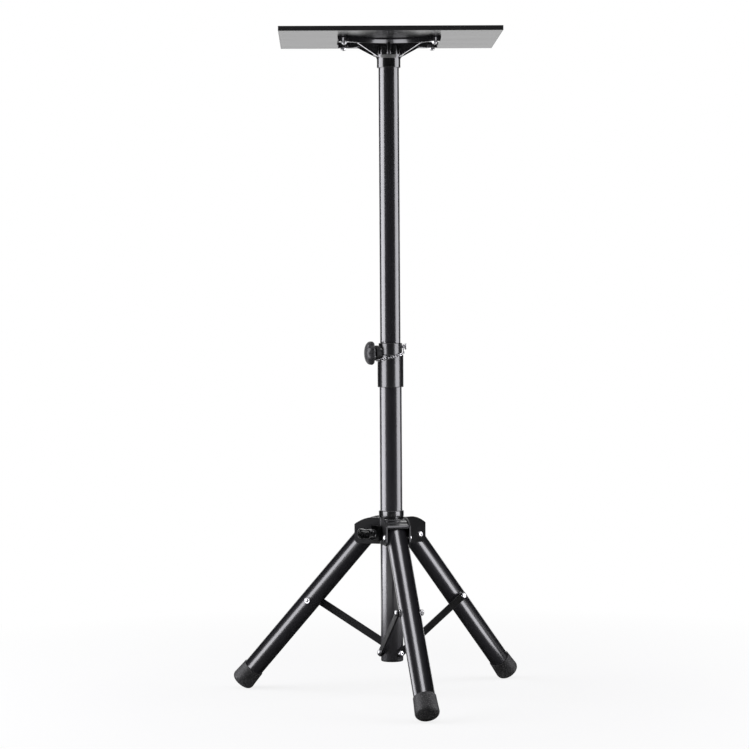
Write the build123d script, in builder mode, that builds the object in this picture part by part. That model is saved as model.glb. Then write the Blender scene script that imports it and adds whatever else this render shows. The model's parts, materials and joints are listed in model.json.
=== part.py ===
from build123d import *
import os
from math import asin, atan2, cos, degrees, radians, sin, sqrt, tan

os.makedirs("parts", exist_ok=True)

# Portable projector stand: a tray on a telescopic mast over a folding tripod.
# The origin is on the column's axis at the floor, +Z up, the tray's long edge along X
# and the front of the stand towards -Y. All lengths are in millimetres.

# Running clearances
tube_clearance = 0.3
pin_clearance = 0.3
seat_clearance = 0.05
washer_clearance = 0.3

# Legs, counted by their azimuth round the column
legs = {"front": -80.0, "right": 40.0, "left": 160.0}
leg_spread = 41.3
leg_od = 35.0
leg_wall = 1.2
leg_reach = 351.0
leg_overrun = 7.0
leg_pivot_radius = 46.5

# Rubber foot caps
cap_length = 36.0
cap_mouth_wall = 1.45
cap_end_wall = 2.7
cap_rounding = 8.0
cap_floor = 4.0

# Upper tube of the mast
mast_od = 35.0
mast_wall = 1.5
mast_length = 604.0
mast_insertion = 95.0
hole_pitch = 104.0
hole_diameter = 6.5

# Column, the lower tube of the mast
column_wall = 1.2
column_bottom = 59.0
column_tube_length = 512.0
plug_flange = 4.0
plug_depth = 22.0
plug_rounding = 2.5

# Height collar at the top of the column
collar_length = 75.0
collar_seat_depth = 48.0
collar_neck_length = 20.0
collar_wall = 3.2
collar_neck_wall = 2.4
collar_edge = 0.8
collar_boss_diameter = 26.0
collar_boss_length = 6.3

# Clamping knob of the height collar
knob_azimuth = 192.0
knob_rise = 10.0
knob_diameter = 42.0
knob_thickness = 15.0
knob_gap = 3.0
knob_lobes = 8
knob_lobe_depth = 2.6
knob_rim = 6.0
knob_neck_diameter = 13.0
stud_diameter = 8.0

# Lock pin, its ring and the small chain
pin_diameter = 6.0
pin_drop = 6.0
pin_head_diameter = 11.0
pin_head_thickness = 3.0
pin_neck_length = 4.2
ring_wire = 1.4
pin_ring_diameter = 17.0
chain_ring_diameter = 20.0
chain_wire = 1.1
link_length = 7.0
link_width = 4.6
link_slack = 0.7
chain_sag = 0.8
chain_start_turn = 20.0
chain_end_turn = 21.0

# Tray: a sheet and the strips that stand round its edges
tray_width = 370.0
tray_depth = 270.0
tray_lip = 8.0
tray_sheet = 1.5
tray_bend = 1.2

# Moulded four-arm bracket under the tray
arm_x = 76.0
arm_y = 50.0
arm_pad_radius = 11.0
waist_x = 44.0
waist_y = 27.0
bracket_rim = 9.0
bracket_wall = 3.0
bracket_plate = 3.0
bracket_rounding = 2.0
socket_wall = 2.4
socket_depth = 43.0
socket_ring_height = 15.0
socket_shoulder = 6.0
socket_body_wall = 3.8
socket_roof = 5.0
gusset_thickness = 4.0
gusset_reach = 64.0
gusset_drop = 22.0
flute_count = 8
flute_thickness = 3.0
flute_height = 2.2

# Screws that hold the tray on the bracket
screw_diameter = 5.0
screw_head_diameter = 9.0
screw_nut_diameter = 9.5
screw_nut_height = 4.5

# Sliding hub, measured from the leg pivots
clevis_side_gap = 1.2
plate_sheet = 2.5
plate_bend = 2.5
ear_above = 32.0
ear_below = 13.0
ear_beyond = 13.0
ear_arch_start = 28.0
ear_arch_drop = 12.0
ear_bottom_corner = 8.0
sleeve_wall = 1.7
hub_ring_wall = 2.2
hub_ring_height = 9.0
hub_ring_rise = 43.0
web_swing_gap = 0.8
web_reach = 58.0
web_nose_height = 18.5
web_steps = ((55.0, 21.8), (47.0, 24.5), (47.0, 26.3), (36.0, 28.8), (36.0, 30.2))

# Pivot bolts, strut bolts and struts
pivot_bolt_diameter = 8.0
pivot_head_diameter = 11.0
pivot_head_height = 3.0
strut_width = 12.5
strut_thickness = 3.0
strut_leg_distance = 152.0
strut_column_height = 73.0
strut_gap = 0.4
strut_washer = 1.0
strut_bolt_diameter = 6.0
strut_head_diameter = 10.5
strut_head_height = 3.2
strut_nut_height = 6.0
strut_washer_diameter = 13.0

# Clamping knob of the hub, on the left side of the front leg
hub_knob_rise = 6.0
hub_knob_length = 38.0
hub_knob_height = 20.0
hub_knob_depth = 15.0
hub_knob_rounding = 4.0
hub_knob_groove = 3.0
hub_knob_waist = 1.5
hub_knob_gap = 9.0
hub_knob_neck_diameter = 14.0
hub_boss_width = 22.0
hub_boss_height = 26.0
hub_boss_length = 14.0
hub_boss_nose = 1.5


# Tube radii and fits
leg_radius = leg_od / 2
mast_radius = mast_od / 2
mast_guide_radius = mast_radius + tube_clearance
column_radius = mast_guide_radius + column_wall
collar_radius = column_radius + seat_clearance + collar_wall
collar_neck_radius = mast_guide_radius + collar_neck_wall
collar_boss_reach = collar_neck_radius + collar_boss_length
hub_bore_radius = column_radius + tube_clearance
sleeve_radius = hub_bore_radius + sleeve_wall
hub_ring_radius = hub_bore_radius + hub_ring_wall
socket_radius = mast_guide_radius + socket_wall
socket_body_radius = socket_radius + socket_body_wall
cap_bore = leg_radius + seat_clearance
cap_mouth_radius = cap_bore + cap_mouth_wall
cap_end_radius = cap_bore + cap_end_wall

# Heights along the column and mast
column_top = column_bottom + plug_flange + column_tube_length
collar_bottom = column_top - collar_seat_depth
collar_top = collar_bottom + collar_length
collar_step = collar_top - collar_neck_length
knob_height = column_top + knob_rise
pin_height = collar_top - pin_drop
mast_bottom = collar_top - mast_insertion
mast_top = mast_bottom + mast_length
bracket_ceiling = mast_top + washer_clearance
socket_bottom = bracket_ceiling - socket_depth
tray_underside = bracket_ceiling + socket_roof
tray_floor = tray_underside + tray_sheet
nut_seat = tray_underside - bracket_rim

# The rounded ends of the foot caps stand on the floor, which sets the height of the pivots
spread_sin = sin(radians(leg_spread))
spread_cos = cos(radians(leg_spread))
pivot_height = (
    (leg_reach - cap_rounding) * spread_cos
    + (cap_end_radius - cap_rounding) * spread_sin
    + cap_rounding
)

# The hub's ears clear the legs and the sleeve, and the struts clear the column and the legs
valley_angle = radians(60)
plate_inside = max(leg_radius + clevis_side_gap, (sleeve_radius + seat_clearance) * sin(valley_angle))
plate_outside = plate_inside + plate_sheet
strut_inside = max(column_radius + strut_gap, leg_radius + strut_washer + washer_clearance)
strut_outside = strut_inside + strut_thickness
valley_reach = plate_outside / sin(valley_angle) + seat_clearance
hub_boss_reach = valley_reach + hub_boss_length


def radial(azimuth):
    """Unit vector that points away from the column."""
    return Vector(cos(radians(azimuth)), sin(radians(azimuth)), 0)


def tangent(azimuth):
    """Unit vector round the column, counter-clockwise from above."""
    return Vector(-sin(radians(azimuth)), cos(radians(azimuth)), 0)


def upright_plane(azimuth, side=0.0):
    """Vertical plane along a leg: local x runs out from the column, local y runs up."""
    return Plane(origin=tangent(azimuth) * side, x_dir=radial(azimuth), z_dir=-tangent(azimuth))


def leg_point(azimuth, along):
    """Point on a leg's centre line, counted down the leg from its pivot."""
    reach = leg_pivot_radius + along * spread_sin
    return radial(azimuth) * reach + Vector(0, 0, pivot_height - along * spread_cos)


def leg_plane(azimuth, along):
    """Plane across a leg: its normal runs down the leg and its x lies in the leg's upright plane."""
    down_leg = radial(azimuth) * spread_sin - Vector(0, 0, spread_cos)
    across = radial(azimuth) * spread_cos + Vector(0, 0, spread_sin)
    return Plane(origin=leg_point(azimuth, along), x_dir=across, z_dir=down_leg)


def side_plane(point, azimuth, side):
    """Plane that faces along the tangent, moved sideways from a point by side."""
    return Plane(origin=point + tangent(azimuth) * side, x_dir=radial(azimuth), z_dir=tangent(azimuth))


def spoke_plane(azimuth, reach, height):
    """Plane that faces away from the column at a distance and height, with its x horizontal."""
    origin = radial(azimuth) * reach + Vector(0, 0, height)
    return Plane(origin=origin, x_dir=tangent(azimuth), z_dir=radial(azimuth))


# Column: lower tube, bottom plug and height collar
with BuildPart() as lower_tube:
    with BuildSketch(Plane.XY.offset(column_bottom + plug_flange)):
        Circle(column_radius)
        Circle(mast_guide_radius, mode=Mode.SUBTRACT)
    extrude(amount=column_top - column_bottom - plug_flange)
lower_tube.part.label = "lower_tube"
export_step(lower_tube.part, "parts/lower_tube.step")

with BuildPart() as column_plug:
    with BuildSketch(Plane.XY.offset(column_bottom)):
        Circle(column_radius)
    extrude(amount=plug_flange)
    fillet(column_plug.edges().sort_by(Axis.Z)[0], min(plug_rounding, plug_flange * 0.9))
    with BuildSketch(Plane.XY.offset(column_bottom + plug_flange)):
        Circle(mast_guide_radius - seat_clearance)
    extrude(amount=plug_depth)
column_plug.part.label = "column_plug"
export_step(column_plug.part, "parts/column_plug.step")

with BuildPart() as height_collar:
    with BuildSketch(Plane.XY.offset(collar_bottom)):
        Circle(collar_radius)
    extrude(amount=collar_step - collar_bottom)
    with BuildSketch(Plane.XY.offset(collar_step)):
        Circle(collar_neck_radius)
    extrude(amount=collar_top - collar_step)
    chamfer(height_collar.edges().filter_by(GeomType.CIRCLE).group_by(Axis.Z)[-1], collar_edge)
    chamfer(height_collar.edges().filter_by(GeomType.CIRCLE).group_by(Axis.Z)[0], collar_edge)
    with BuildSketch(spoke_plane(knob_azimuth, 0, knob_height)):
        Circle(collar_boss_diameter / 2)
    extrude(amount=collar_boss_reach)
    with BuildSketch(Plane.XY.offset(collar_bottom)):
        Circle(column_radius + seat_clearance)
    extrude(amount=column_top - collar_bottom, mode=Mode.SUBTRACT)
    with BuildSketch(Plane.XY.offset(column_top)):
        Circle(mast_guide_radius)
    extrude(amount=collar_top - column_top, mode=Mode.SUBTRACT)
    with BuildSketch(spoke_plane(knob_azimuth, 0, knob_height)):
        Circle(stud_diameter / 2 + pin_clearance)
    extrude(amount=collar_boss_reach, mode=Mode.SUBTRACT)
    with BuildSketch(spoke_plane(0, 0, pin_height)):
        Circle(pin_diameter / 2 + seat_clearance)
    extrude(amount=collar_radius, mode=Mode.SUBTRACT)
height_collar.part.label = "height_collar"
export_step(height_collar.part, "parts/height_collar.step")

# Lock pin drawn back to the collar's wall, so that the mast is free to slide
with BuildPart() as lock_pin:
    with BuildSketch(spoke_plane(0, mast_guide_radius, pin_height)):
        Circle(pin_diameter / 2)
    extrude(amount=collar_neck_radius - mast_guide_radius + pin_neck_length)
    with BuildSketch(spoke_plane(0, collar_neck_radius + pin_neck_length, pin_height)):
        Circle(pin_head_diameter / 2)
    extrude(amount=pin_head_thickness)
    fillet(lock_pin.edges().sort_by(Axis.X)[-1], pin_head_thickness * 0.4)
lock_pin.part.label = "lock_pin"
export_step(lock_pin.part, "parts/lock_pin.step")

# Wire rings hang on the neck of the lock pin and on the neck of the knob
pin_ring_reach = collar_neck_radius + pin_neck_length / 2
pin_ring_height = pin_height + pin_diameter / 2 + pin_clearance + ring_wire / 2 - pin_ring_diameter / 2
with BuildPart() as pin_ring:
    with BuildSketch(Plane.XZ):
        with Locations((pin_ring_reach, pin_ring_height + pin_ring_diameter / 2)):
            Circle(ring_wire / 2)
    revolve(axis=Axis((0, 0, pin_ring_height), (1, 0, 0)))
pin_ring.part.label = "pin_ring"
export_step(pin_ring.part, "parts/pin_ring.step")

chain_ring_reach = collar_boss_reach + knob_gap / 2
chain_ring_top = knob_height + knob_neck_diameter / 2 + pin_clearance + ring_wire / 2
chain_ring_height = chain_ring_top - chain_ring_diameter / 2
with BuildPart() as chain_ring:
    with BuildSketch(upright_plane(knob_azimuth)):
        with Locations((chain_ring_reach, chain_ring_top)):
            Circle(ring_wire / 2)
    revolve(axis=Axis((0, 0, chain_ring_height), tuple(radial(knob_azimuth))))
chain_ring.part.label = "chain_ring"
export_step(chain_ring.part, "parts/chain_ring.step")

# Small link chain that hangs round the front of the collar from one ring to the other
link_pitch = link_length - 2 * chain_wire - link_slack
chain_radius = collar_radius + link_width / 2 + pin_clearance
chain_start = knob_azimuth + chain_start_turn
chain_end = 360.0 - chain_end_turn
chain_start_height = chain_ring_height - chain_ring_diameter / 2
chain_end_height = pin_ring_height - pin_ring_diameter / 3
link_count = round(chain_radius * radians(chain_end - chain_start) / link_pitch)


def chain_point(share):
    """Point of the chain's line, from 0 at the knob's ring to 1 at the pin's ring."""
    azimuth = chain_start + share * (chain_end - chain_start)
    reach = chain_radius + (chain_ring_reach - chain_radius) * max(0.0, 1 - 5 * share) ** 2
    drop = 4 * chain_sag * share * (1 - share)
    height = chain_start_height + (chain_end_height - chain_start_height) * share - drop
    return radial(azimuth) * reach + Vector(0, 0, height)


with BuildPart() as pin_chain:
    for link in range(link_count):
        middle = chain_point((link + 0.5) / link_count)
        along = (chain_point((link + 1) / link_count) - chain_point(link / link_count)).normalized()
        outward = Vector(middle.X, middle.Y, 0).normalized()
        flat_normal = along.cross(outward).normalized()
        link_normal = flat_normal if link % 2 else flat_normal.cross(along)
        straight = link_length - link_width
        with BuildLine(Plane(origin=middle, x_dir=along, z_dir=link_normal)) as link_path:
            arm = (link_width - chain_wire) / 2
            top = Line((-straight / 2, arm), (straight / 2, arm))
            right_bend = TangentArc(top @ 1, (straight / 2, -arm), tangent=top % 1)
            bottom = Line(right_bend @ 1, (-straight / 2, -arm))
            TangentArc(bottom @ 1, top @ 0, tangent=bottom % 1)
        with BuildSketch(Plane(origin=link_path.line @ 0, z_dir=link_path.line % 0)):
            RegularPolygon(chain_wire / 2, 6)
        sweep(path=link_path.line)
pin_chain.part.label = "pin_chain"
export_step(pin_chain.part, "parts/pin_chain.step")

# Upper tube with its height holes
hole_count = int((socket_bottom - pin_height) / hole_pitch) + 1
with BuildPart() as upper_tube:
    with BuildSketch(Plane.XY.offset(mast_bottom)):
        Circle(mast_radius)
        Circle(mast_radius - mast_wall, mode=Mode.SUBTRACT)
    extrude(amount=mast_length)
    for step in range(hole_count):
        with BuildSketch(Plane.YZ.offset(-mast_od)):
            with Locations((0, pin_height + step * hole_pitch)):
                Circle(hole_diameter / 2)
        extrude(amount=2 * mast_od, mode=Mode.SUBTRACT)
upper_tube.part.label = "upper_tube"
export_step(upper_tube.part, "parts/upper_tube.step")

# Clamping knob of the height collar: a domed and lobed disc on a neck, with a steel stud
knob_back = collar_boss_reach + knob_gap
knob_front = knob_back + knob_thickness
knob_radius = knob_diameter / 2
with BuildPart() as collar_knob:
    with BuildSketch(Plane(upright_plane(knob_azimuth).location * Location((0, knob_height)))):
        with BuildLine():
            rim_end = knob_back + min(knob_rim, knob_thickness / 2)
            dome_centre = (knob_front + rim_end) / 2 - knob_radius ** 2 / (knob_front - rim_end) / 2
            dome = CenterArc(
                (dome_centre, 0),
                knob_front - dome_centre,
                0,
                degrees(atan2(knob_radius, rim_end - dome_centre)),
            )
            Polyline(
                dome @ 1,
                (knob_back + knob_lobe_depth, knob_radius),
                (knob_back, knob_radius - knob_lobe_depth),
                (knob_back, 0),
                dome @ 0,
            )
        make_face()
    revolve(axis=Axis((0, 0, knob_height), tuple(radial(knob_azimuth))))
    with BuildSketch(spoke_plane(knob_azimuth, knob_back, knob_height)):
        with PolarLocations(knob_radius + knob_lobe_depth, knob_lobes):
            Circle(2 * knob_lobe_depth)
    extrude(amount=knob_thickness, mode=Mode.SUBTRACT)
    with BuildSketch(spoke_plane(knob_azimuth, collar_boss_reach + pin_clearance, knob_height)):
        Circle(knob_neck_diameter / 2)
    extrude(amount=knob_gap)
    with BuildSketch(spoke_plane(knob_azimuth, collar_boss_reach, knob_height)):
        Circle(stud_diameter / 2 + seat_clearance)
    extrude(amount=knob_gap + knob_thickness / 2, mode=Mode.SUBTRACT)
collar_knob.part.label = "collar_knob"
export_step(collar_knob.part, "parts/collar_knob.step")

with BuildPart() as collar_stud:
    with BuildSketch(spoke_plane(knob_azimuth, mast_guide_radius, knob_height)):
        Circle(stud_diameter / 2)
    extrude(amount=knob_back + knob_thickness / 2 - mast_guide_radius)
collar_stud.part.label = "collar_stud"
export_step(collar_stud.part, "parts/collar_stud.step")

# Tray: a flat sheet with four strips that stand up round its edges
tray_inside_width = tray_width - 2 * tray_sheet
tray_inside_depth = tray_depth - 2 * tray_sheet
with BuildPart() as tray:
    with BuildSketch(Plane.XY.offset(tray_underside)):
        Rectangle(tray_inside_width - 2 * seat_clearance, tray_inside_depth - 2 * seat_clearance)
    extrude(amount=tray_sheet)
    for x_side in (-1, 1):
        for y_side in (-1, 1):
            with BuildSketch(Plane(origin=(x_side * arm_x, y_side * arm_y, tray_floor))):
                Circle(screw_head_diameter / 2 + seat_clearance)
            with BuildSketch(Plane(origin=(x_side * arm_x, y_side * arm_y, tray_underside))):
                Circle(screw_diameter / 2 + seat_clearance)
            loft(mode=Mode.SUBTRACT)
tray.part.label = "tray"
export_step(tray.part, "parts/tray.step")

strip_x = (tray_width - tray_sheet) / 2
strip_y = (tray_depth - tray_sheet) / 2
side_strip_length = tray_inside_depth - 2 * seat_clearance
strips = {
    "front": (0, -strip_y, tray_width, tray_sheet),
    "rear": (0, strip_y, tray_width, tray_sheet),
    "left": (-strip_x, 0, tray_sheet, side_strip_length),
    "right": (strip_x, 0, tray_sheet, side_strip_length),
}
for name, (middle_x, middle_y, size_x, size_y) in strips.items():
    with BuildPart() as tray_edge:
        with BuildSketch(Plane.XY.offset(tray_underside)):
            with Locations((middle_x, middle_y)):
                Rectangle(size_x, size_y)
        extrude(amount=tray_lip)
        outer_face = tray_edge.faces().sort_by(Axis((0, 0, 0), (middle_x, middle_y, 0)))[-1]
        fillet(outer_face.edges().sort_by(Axis.Z)[0], tray_bend)
    tray_edge.part.label = name + "_tray_edge"
    export_step(tray_edge.part, "parts/" + name + "_tray_edge.step")

# Tray screws: flush heads in the tray's floor and dome nuts under the arms
with BuildPart() as tray_screws:
    for x_side in (-1, 1):
        for y_side in (-1, 1):
            with BuildSketch(Plane(origin=(x_side * arm_x, y_side * arm_y, tray_floor))):
                Circle(screw_head_diameter / 2)
            with BuildSketch(Plane(origin=(x_side * arm_x, y_side * arm_y, tray_underside))):
                Circle(screw_diameter / 2)
            loft()
            with BuildSketch(Plane(origin=(x_side * arm_x, y_side * arm_y, nut_seat))):
                Circle(screw_diameter / 2)
            extrude(amount=bracket_rim)
            with BuildSketch(Plane(origin=(x_side * arm_x, y_side * arm_y, nut_seat - screw_nut_height))):
                RegularPolygon(screw_nut_diameter / 2, 6)
            extrude(amount=screw_nut_height)
tray_screws.part.label = "tray_screws"
export_step(tray_screws.part, "parts/tray_screws.step")

# Four-arm bracket: a rimmed plate with concave sides over a fluted socket
with BuildPart() as tray_bracket:
    with BuildSketch(Plane.XY.offset(nut_seat)) as bracket_outline:
        with BuildLine():
            tip_x = arm_x + arm_pad_radius
            tip_y = arm_y + arm_pad_radius
            slant = arm_pad_radius * (1 - sin(radians(45)))
            ThreePointArc((-arm_x, -tip_y), (0, -waist_y), (arm_x, -tip_y))
            ThreePointArc((arm_x, -tip_y), (tip_x - slant, slant - tip_y), (tip_x, -arm_y))
            ThreePointArc((tip_x, -arm_y), (waist_x, 0), (tip_x, arm_y))
            ThreePointArc((tip_x, arm_y), (tip_x - slant, tip_y - slant), (arm_x, tip_y))
            ThreePointArc((arm_x, tip_y), (0, waist_y), (-arm_x, tip_y))
            ThreePointArc((-arm_x, tip_y), (slant - tip_x, tip_y - slant), (-tip_x, arm_y))
            ThreePointArc((-tip_x, arm_y), (-waist_x, 0), (-tip_x, -arm_y))
            ThreePointArc((-tip_x, -arm_y), (slant - tip_x, slant - tip_y), (-arm_x, -tip_y))
        make_face()
    extrude(amount=bracket_rim)
    fillet(tray_bracket.faces().sort_by(Axis.Z)[0].edges(), bracket_rounding)
    with BuildSketch(Plane.XY.offset(nut_seat)):
        offset(bracket_outline.sketch.faces()[0], amount=-bracket_wall)
    extrude(amount=bracket_rim - bracket_plate, mode=Mode.SUBTRACT)
    with BuildSketch(Plane.XY.offset(nut_seat)):
        with GridLocations(2 * arm_x, 2 * arm_y, 2, 2):
            Circle(arm_pad_radius - bracket_rounding)
    extrude(amount=bracket_rim)
    arm_azimuth = degrees(atan2(arm_y, arm_x))
    for azimuth in (arm_azimuth, 180 - arm_azimuth, 180 + arm_azimuth, -arm_azimuth):
        with BuildSketch(upright_plane(azimuth)):
            with BuildLine():
                Polyline(
                    (mast_radius, tray_underside - bracket_plate / 2),
                    (gusset_reach, tray_underside - bracket_plate / 2),
                    (gusset_reach, nut_seat),
                    (socket_radius, nut_seat - gusset_drop),
                    (mast_radius, nut_seat - gusset_drop),
                    close=True,
                )
            make_face()
        extrude(amount=gusset_thickness / 2, both=True)
    with BuildSketch(Plane.XZ):
        with BuildLine():
            ring_top = socket_bottom + socket_ring_height
            Polyline(
                (0, socket_bottom),
                (socket_radius, socket_bottom),
                (socket_radius, ring_top),
                (socket_body_radius, ring_top + socket_shoulder),
                (socket_body_radius, tray_underside),
                (0, tray_underside),
                close=True,
            )
        make_face()
    revolve(axis=Axis.Z)
    with BuildSketch(Plane.XY.offset(ring_top + socket_shoulder)):
        with PolarLocations(socket_body_radius, flute_count):
            Rectangle(2 * flute_height, flute_thickness)
    extrude(amount=tray_underside - ring_top - socket_shoulder - bracket_plate / 2)
    with BuildSketch(Plane.XY.offset(socket_bottom)):
        Circle(mast_guide_radius)
    extrude(amount=socket_depth, mode=Mode.SUBTRACT)
    with BuildSketch(Plane.XY.offset(nut_seat)):
        with GridLocations(2 * arm_x, 2 * arm_y, 2, 2):
            Circle(screw_diameter / 2 + seat_clearance)
    extrude(amount=bracket_rim, mode=Mode.SUBTRACT)
tray_bracket.part.label = "tray_bracket"
export_step(tray_bracket.part, "parts/tray_bracket.step")

# Sliding hub: a sleeve with a top ring, and over each leg a stepped web that is arched round the leg's end
leg_swing = sqrt(leg_overrun ** 2 + leg_radius ** 2) + web_swing_gap
web_angle = degrees(asin((web_reach - leg_pivot_radius) / leg_swing))
hub_knob_azimuth = legs["front"] - 60.0
hub_knob_level = pivot_height + hub_knob_rise
with BuildPart() as hub_sleeve:
    with BuildSketch(Plane.XY.offset(pivot_height - ear_below)):
        Circle(sleeve_radius)
    extrude(amount=ear_below + hub_ring_rise)
    with BuildSketch(Plane.XY.offset(pivot_height + hub_ring_rise - hub_ring_height)):
        Circle(hub_ring_radius)
    extrude(amount=hub_ring_height)
    for azimuth in legs.values():
        with BuildSketch(upright_plane(azimuth)):
            with BuildLine():
                web_arc = CenterArc((leg_pivot_radius, pivot_height), leg_swing, 90 - web_angle, web_angle)
                Polyline(
                    web_arc @ 0,
                    (web_reach, pivot_height + web_nose_height),
                    *((reach, pivot_height + height) for reach, height in web_steps),
                    (0, pivot_height + web_steps[-1][1]),
                    (0, pivot_height + leg_swing),
                    web_arc @ 1,
                )
            make_face()
        extrude(amount=plate_inside - seat_clearance, both=True)
    with BuildSketch(Plane.XY.offset(pivot_height - ear_below)):
        Circle(hub_bore_radius)
    extrude(amount=ear_below + hub_ring_rise, mode=Mode.SUBTRACT)
    with BuildSketch(spoke_plane(hub_knob_azimuth, 0, hub_knob_level)):
        Circle(stud_diameter / 2 + pin_clearance)
    extrude(amount=2 * sleeve_radius, mode=Mode.SUBTRACT)
hub_sleeve.part.label = "hub_sleeve"
export_step(hub_sleeve.part, "parts/hub_sleeve.step")

# Pressed hub plates: each is bent into a valley between two legs and ends in two ears
ear_root = plate_inside / tan(valley_angle)
ear_edge = leg_pivot_radius + ear_beyond
for name, azimuth in legs.items():
    valley_azimuth = azimuth - 60.0
    with BuildPart() as hub_plate:
        for ear_azimuth, side in ((azimuth, -1), (azimuth - 120.0, 1)):
            with BuildSketch(upright_plane(ear_azimuth, side * plate_inside)):
                with BuildLine():
                    ear_top = pivot_height + ear_above
                    arch_end = (ear_edge, ear_top - ear_arch_drop)
                    arch_middle = ((ear_edge + ear_arch_start) / 2, ear_top - 0.3 * ear_arch_drop)
                    ear_rim = FilletPolyline(
                        (ear_root, pivot_height - ear_below),
                        (ear_edge, pivot_height - ear_below),
                        arch_end,
                        radius=ear_bottom_corner,
                    )
                    arch = ThreePointArc(arch_end, arch_middle, (ear_arch_start, ear_top))
                    Polyline(arch @ 1, (ear_root, ear_top), ear_rim @ 0)
                make_face()
                with Locations((leg_pivot_radius, pivot_height)):
                    Circle(pivot_bolt_diameter / 2 + seat_clearance, mode=Mode.SUBTRACT)
            extrude(amount=-side * plate_sheet)
        for face_reach, bend in ((plate_inside, plate_bend + plate_sheet), (plate_outside, plate_bend)):
            corner = radial(valley_azimuth) * (face_reach / sin(valley_angle)) + Vector(0, 0, pivot_height)
            fillet(hub_plate.edges().filter_by(Axis.Z).sort_by_distance(corner)[0], bend)
        if valley_azimuth == hub_knob_azimuth:
            with BuildSketch(spoke_plane(valley_azimuth, 0, hub_knob_level)):
                Circle(stud_diameter / 2 + pin_clearance)
            extrude(amount=hub_boss_reach, mode=Mode.SUBTRACT)
    hub_plate.part.label = name + "_hub_plate"
    export_step(hub_plate.part, "parts/" + name + "_hub_plate.step")

# Pivot bolts: a domed head on one ear, a nut on the other
for name, azimuth in legs.items():
    pivot = leg_point(azimuth, 0)
    with BuildPart() as pivot_bolt:
        with BuildSketch(side_plane(pivot, azimuth, -plate_outside - pivot_head_height)):
            Circle(pivot_head_diameter / 2)
        extrude(amount=pivot_head_height)
        with BuildSketch(side_plane(pivot, azimuth, -plate_outside)):
            Circle(pivot_bolt_diameter / 2)
        extrude(amount=2 * plate_outside)
        with BuildSketch(side_plane(pivot, azimuth, plate_outside)):
            Circle(pivot_head_diameter / 2)
        extrude(amount=pivot_head_height)
        outer_rims = pivot_bolt.edges().filter_by(GeomType.CIRCLE).sort_by(Axis(pivot, tangent(azimuth)))
        fillet([outer_rims[0], outer_rims[-1]], pivot_head_height * 0.6)
    pivot_bolt.part.label = name + "_pivot_bolt"
    export_step(pivot_bolt.part, "parts/" + name + "_pivot_bolt.step")

# Boss of the hub knob, seated in the valley of its plate
with BuildPart() as hub_knob_boss:
    boss_floor = Plane(
        origin=(0, 0, hub_knob_level - hub_boss_height / 2),
        x_dir=radial(hub_knob_azimuth),
        z_dir=(0, 0, 1),
    )
    with BuildSketch(boss_floor):
        with BuildLine():
            shoulder = valley_reach + hub_boss_width / 2 / tan(valley_angle)
            nose = valley_reach + hub_boss_nose
            Polyline(
                (nose, -hub_boss_nose * tan(valley_angle)),
                (nose, hub_boss_nose * tan(valley_angle)),
                (shoulder, hub_boss_width / 2),
                (hub_boss_reach, hub_boss_width / 2),
                (hub_boss_reach, -hub_boss_width / 2),
                (shoulder, -hub_boss_width / 2),
                close=True,
            )
        make_face()
    extrude(amount=hub_boss_height)
    with BuildSketch(spoke_plane(hub_knob_azimuth, 0, hub_knob_level)):
        Circle(stud_diameter / 2 + pin_clearance)
    extrude(amount=hub_boss_reach, mode=Mode.SUBTRACT)
hub_knob_boss.part.label = "hub_knob_boss"
export_step(hub_knob_boss.part, "parts/hub_knob_boss.step")

# Clamping knob of the hub: an oblong grip with a groove across its face, and its stud
hub_knob_back = hub_boss_reach + hub_knob_gap
with BuildPart() as hub_knob:
    with BuildSketch(spoke_plane(hub_knob_azimuth, hub_knob_back, hub_knob_level)):
        SlotOverall(hub_knob_length, hub_knob_height)
    extrude(amount=hub_knob_depth)
    fillet(hub_knob.faces().sort_by(Axis((0, 0, 0), radial(hub_knob_azimuth)))[-1].edges(), hub_knob_rounding)
    with BuildSketch(spoke_plane(hub_knob_azimuth, hub_knob_back, hub_knob_level)):
        for side in (-1, 1):
            with Locations((0, side * (hub_knob_height / 2 + hub_knob_length / 2 - hub_knob_waist))):
                Circle(hub_knob_length / 2)
    extrude(amount=hub_knob_depth, mode=Mode.SUBTRACT)
    with BuildSketch(spoke_plane(hub_knob_azimuth, hub_knob_back + hub_knob_depth, hub_knob_level)):
        SlotOverall(hub_knob_length - 4 * hub_knob_rounding, hub_knob_height - 3 * hub_knob_rounding)
    extrude(amount=-hub_knob_groove, mode=Mode.SUBTRACT)
    with BuildSketch(spoke_plane(hub_knob_azimuth, hub_boss_reach + pin_clearance, hub_knob_level)):
        Circle(hub_knob_neck_diameter / 2)
    extrude(amount=hub_knob_gap)
    with BuildSketch(spoke_plane(hub_knob_azimuth, hub_boss_reach, hub_knob_level)):
        Circle(stud_diameter / 2 + seat_clearance)
    extrude(amount=hub_knob_gap + hub_knob_depth / 2, mode=Mode.SUBTRACT)
hub_knob.part.label = "hub_knob"
export_step(hub_knob.part, "parts/hub_knob.step")

with BuildPart() as hub_stud:
    with BuildSketch(spoke_plane(hub_knob_azimuth, hub_bore_radius, hub_knob_level)):
        Circle(stud_diameter / 2)
    extrude(amount=hub_knob_back + hub_knob_depth / 2 - hub_bore_radius)
hub_stud.part.label = "hub_stud"
export_step(hub_stud.part, "parts/hub_stud.step")

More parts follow.
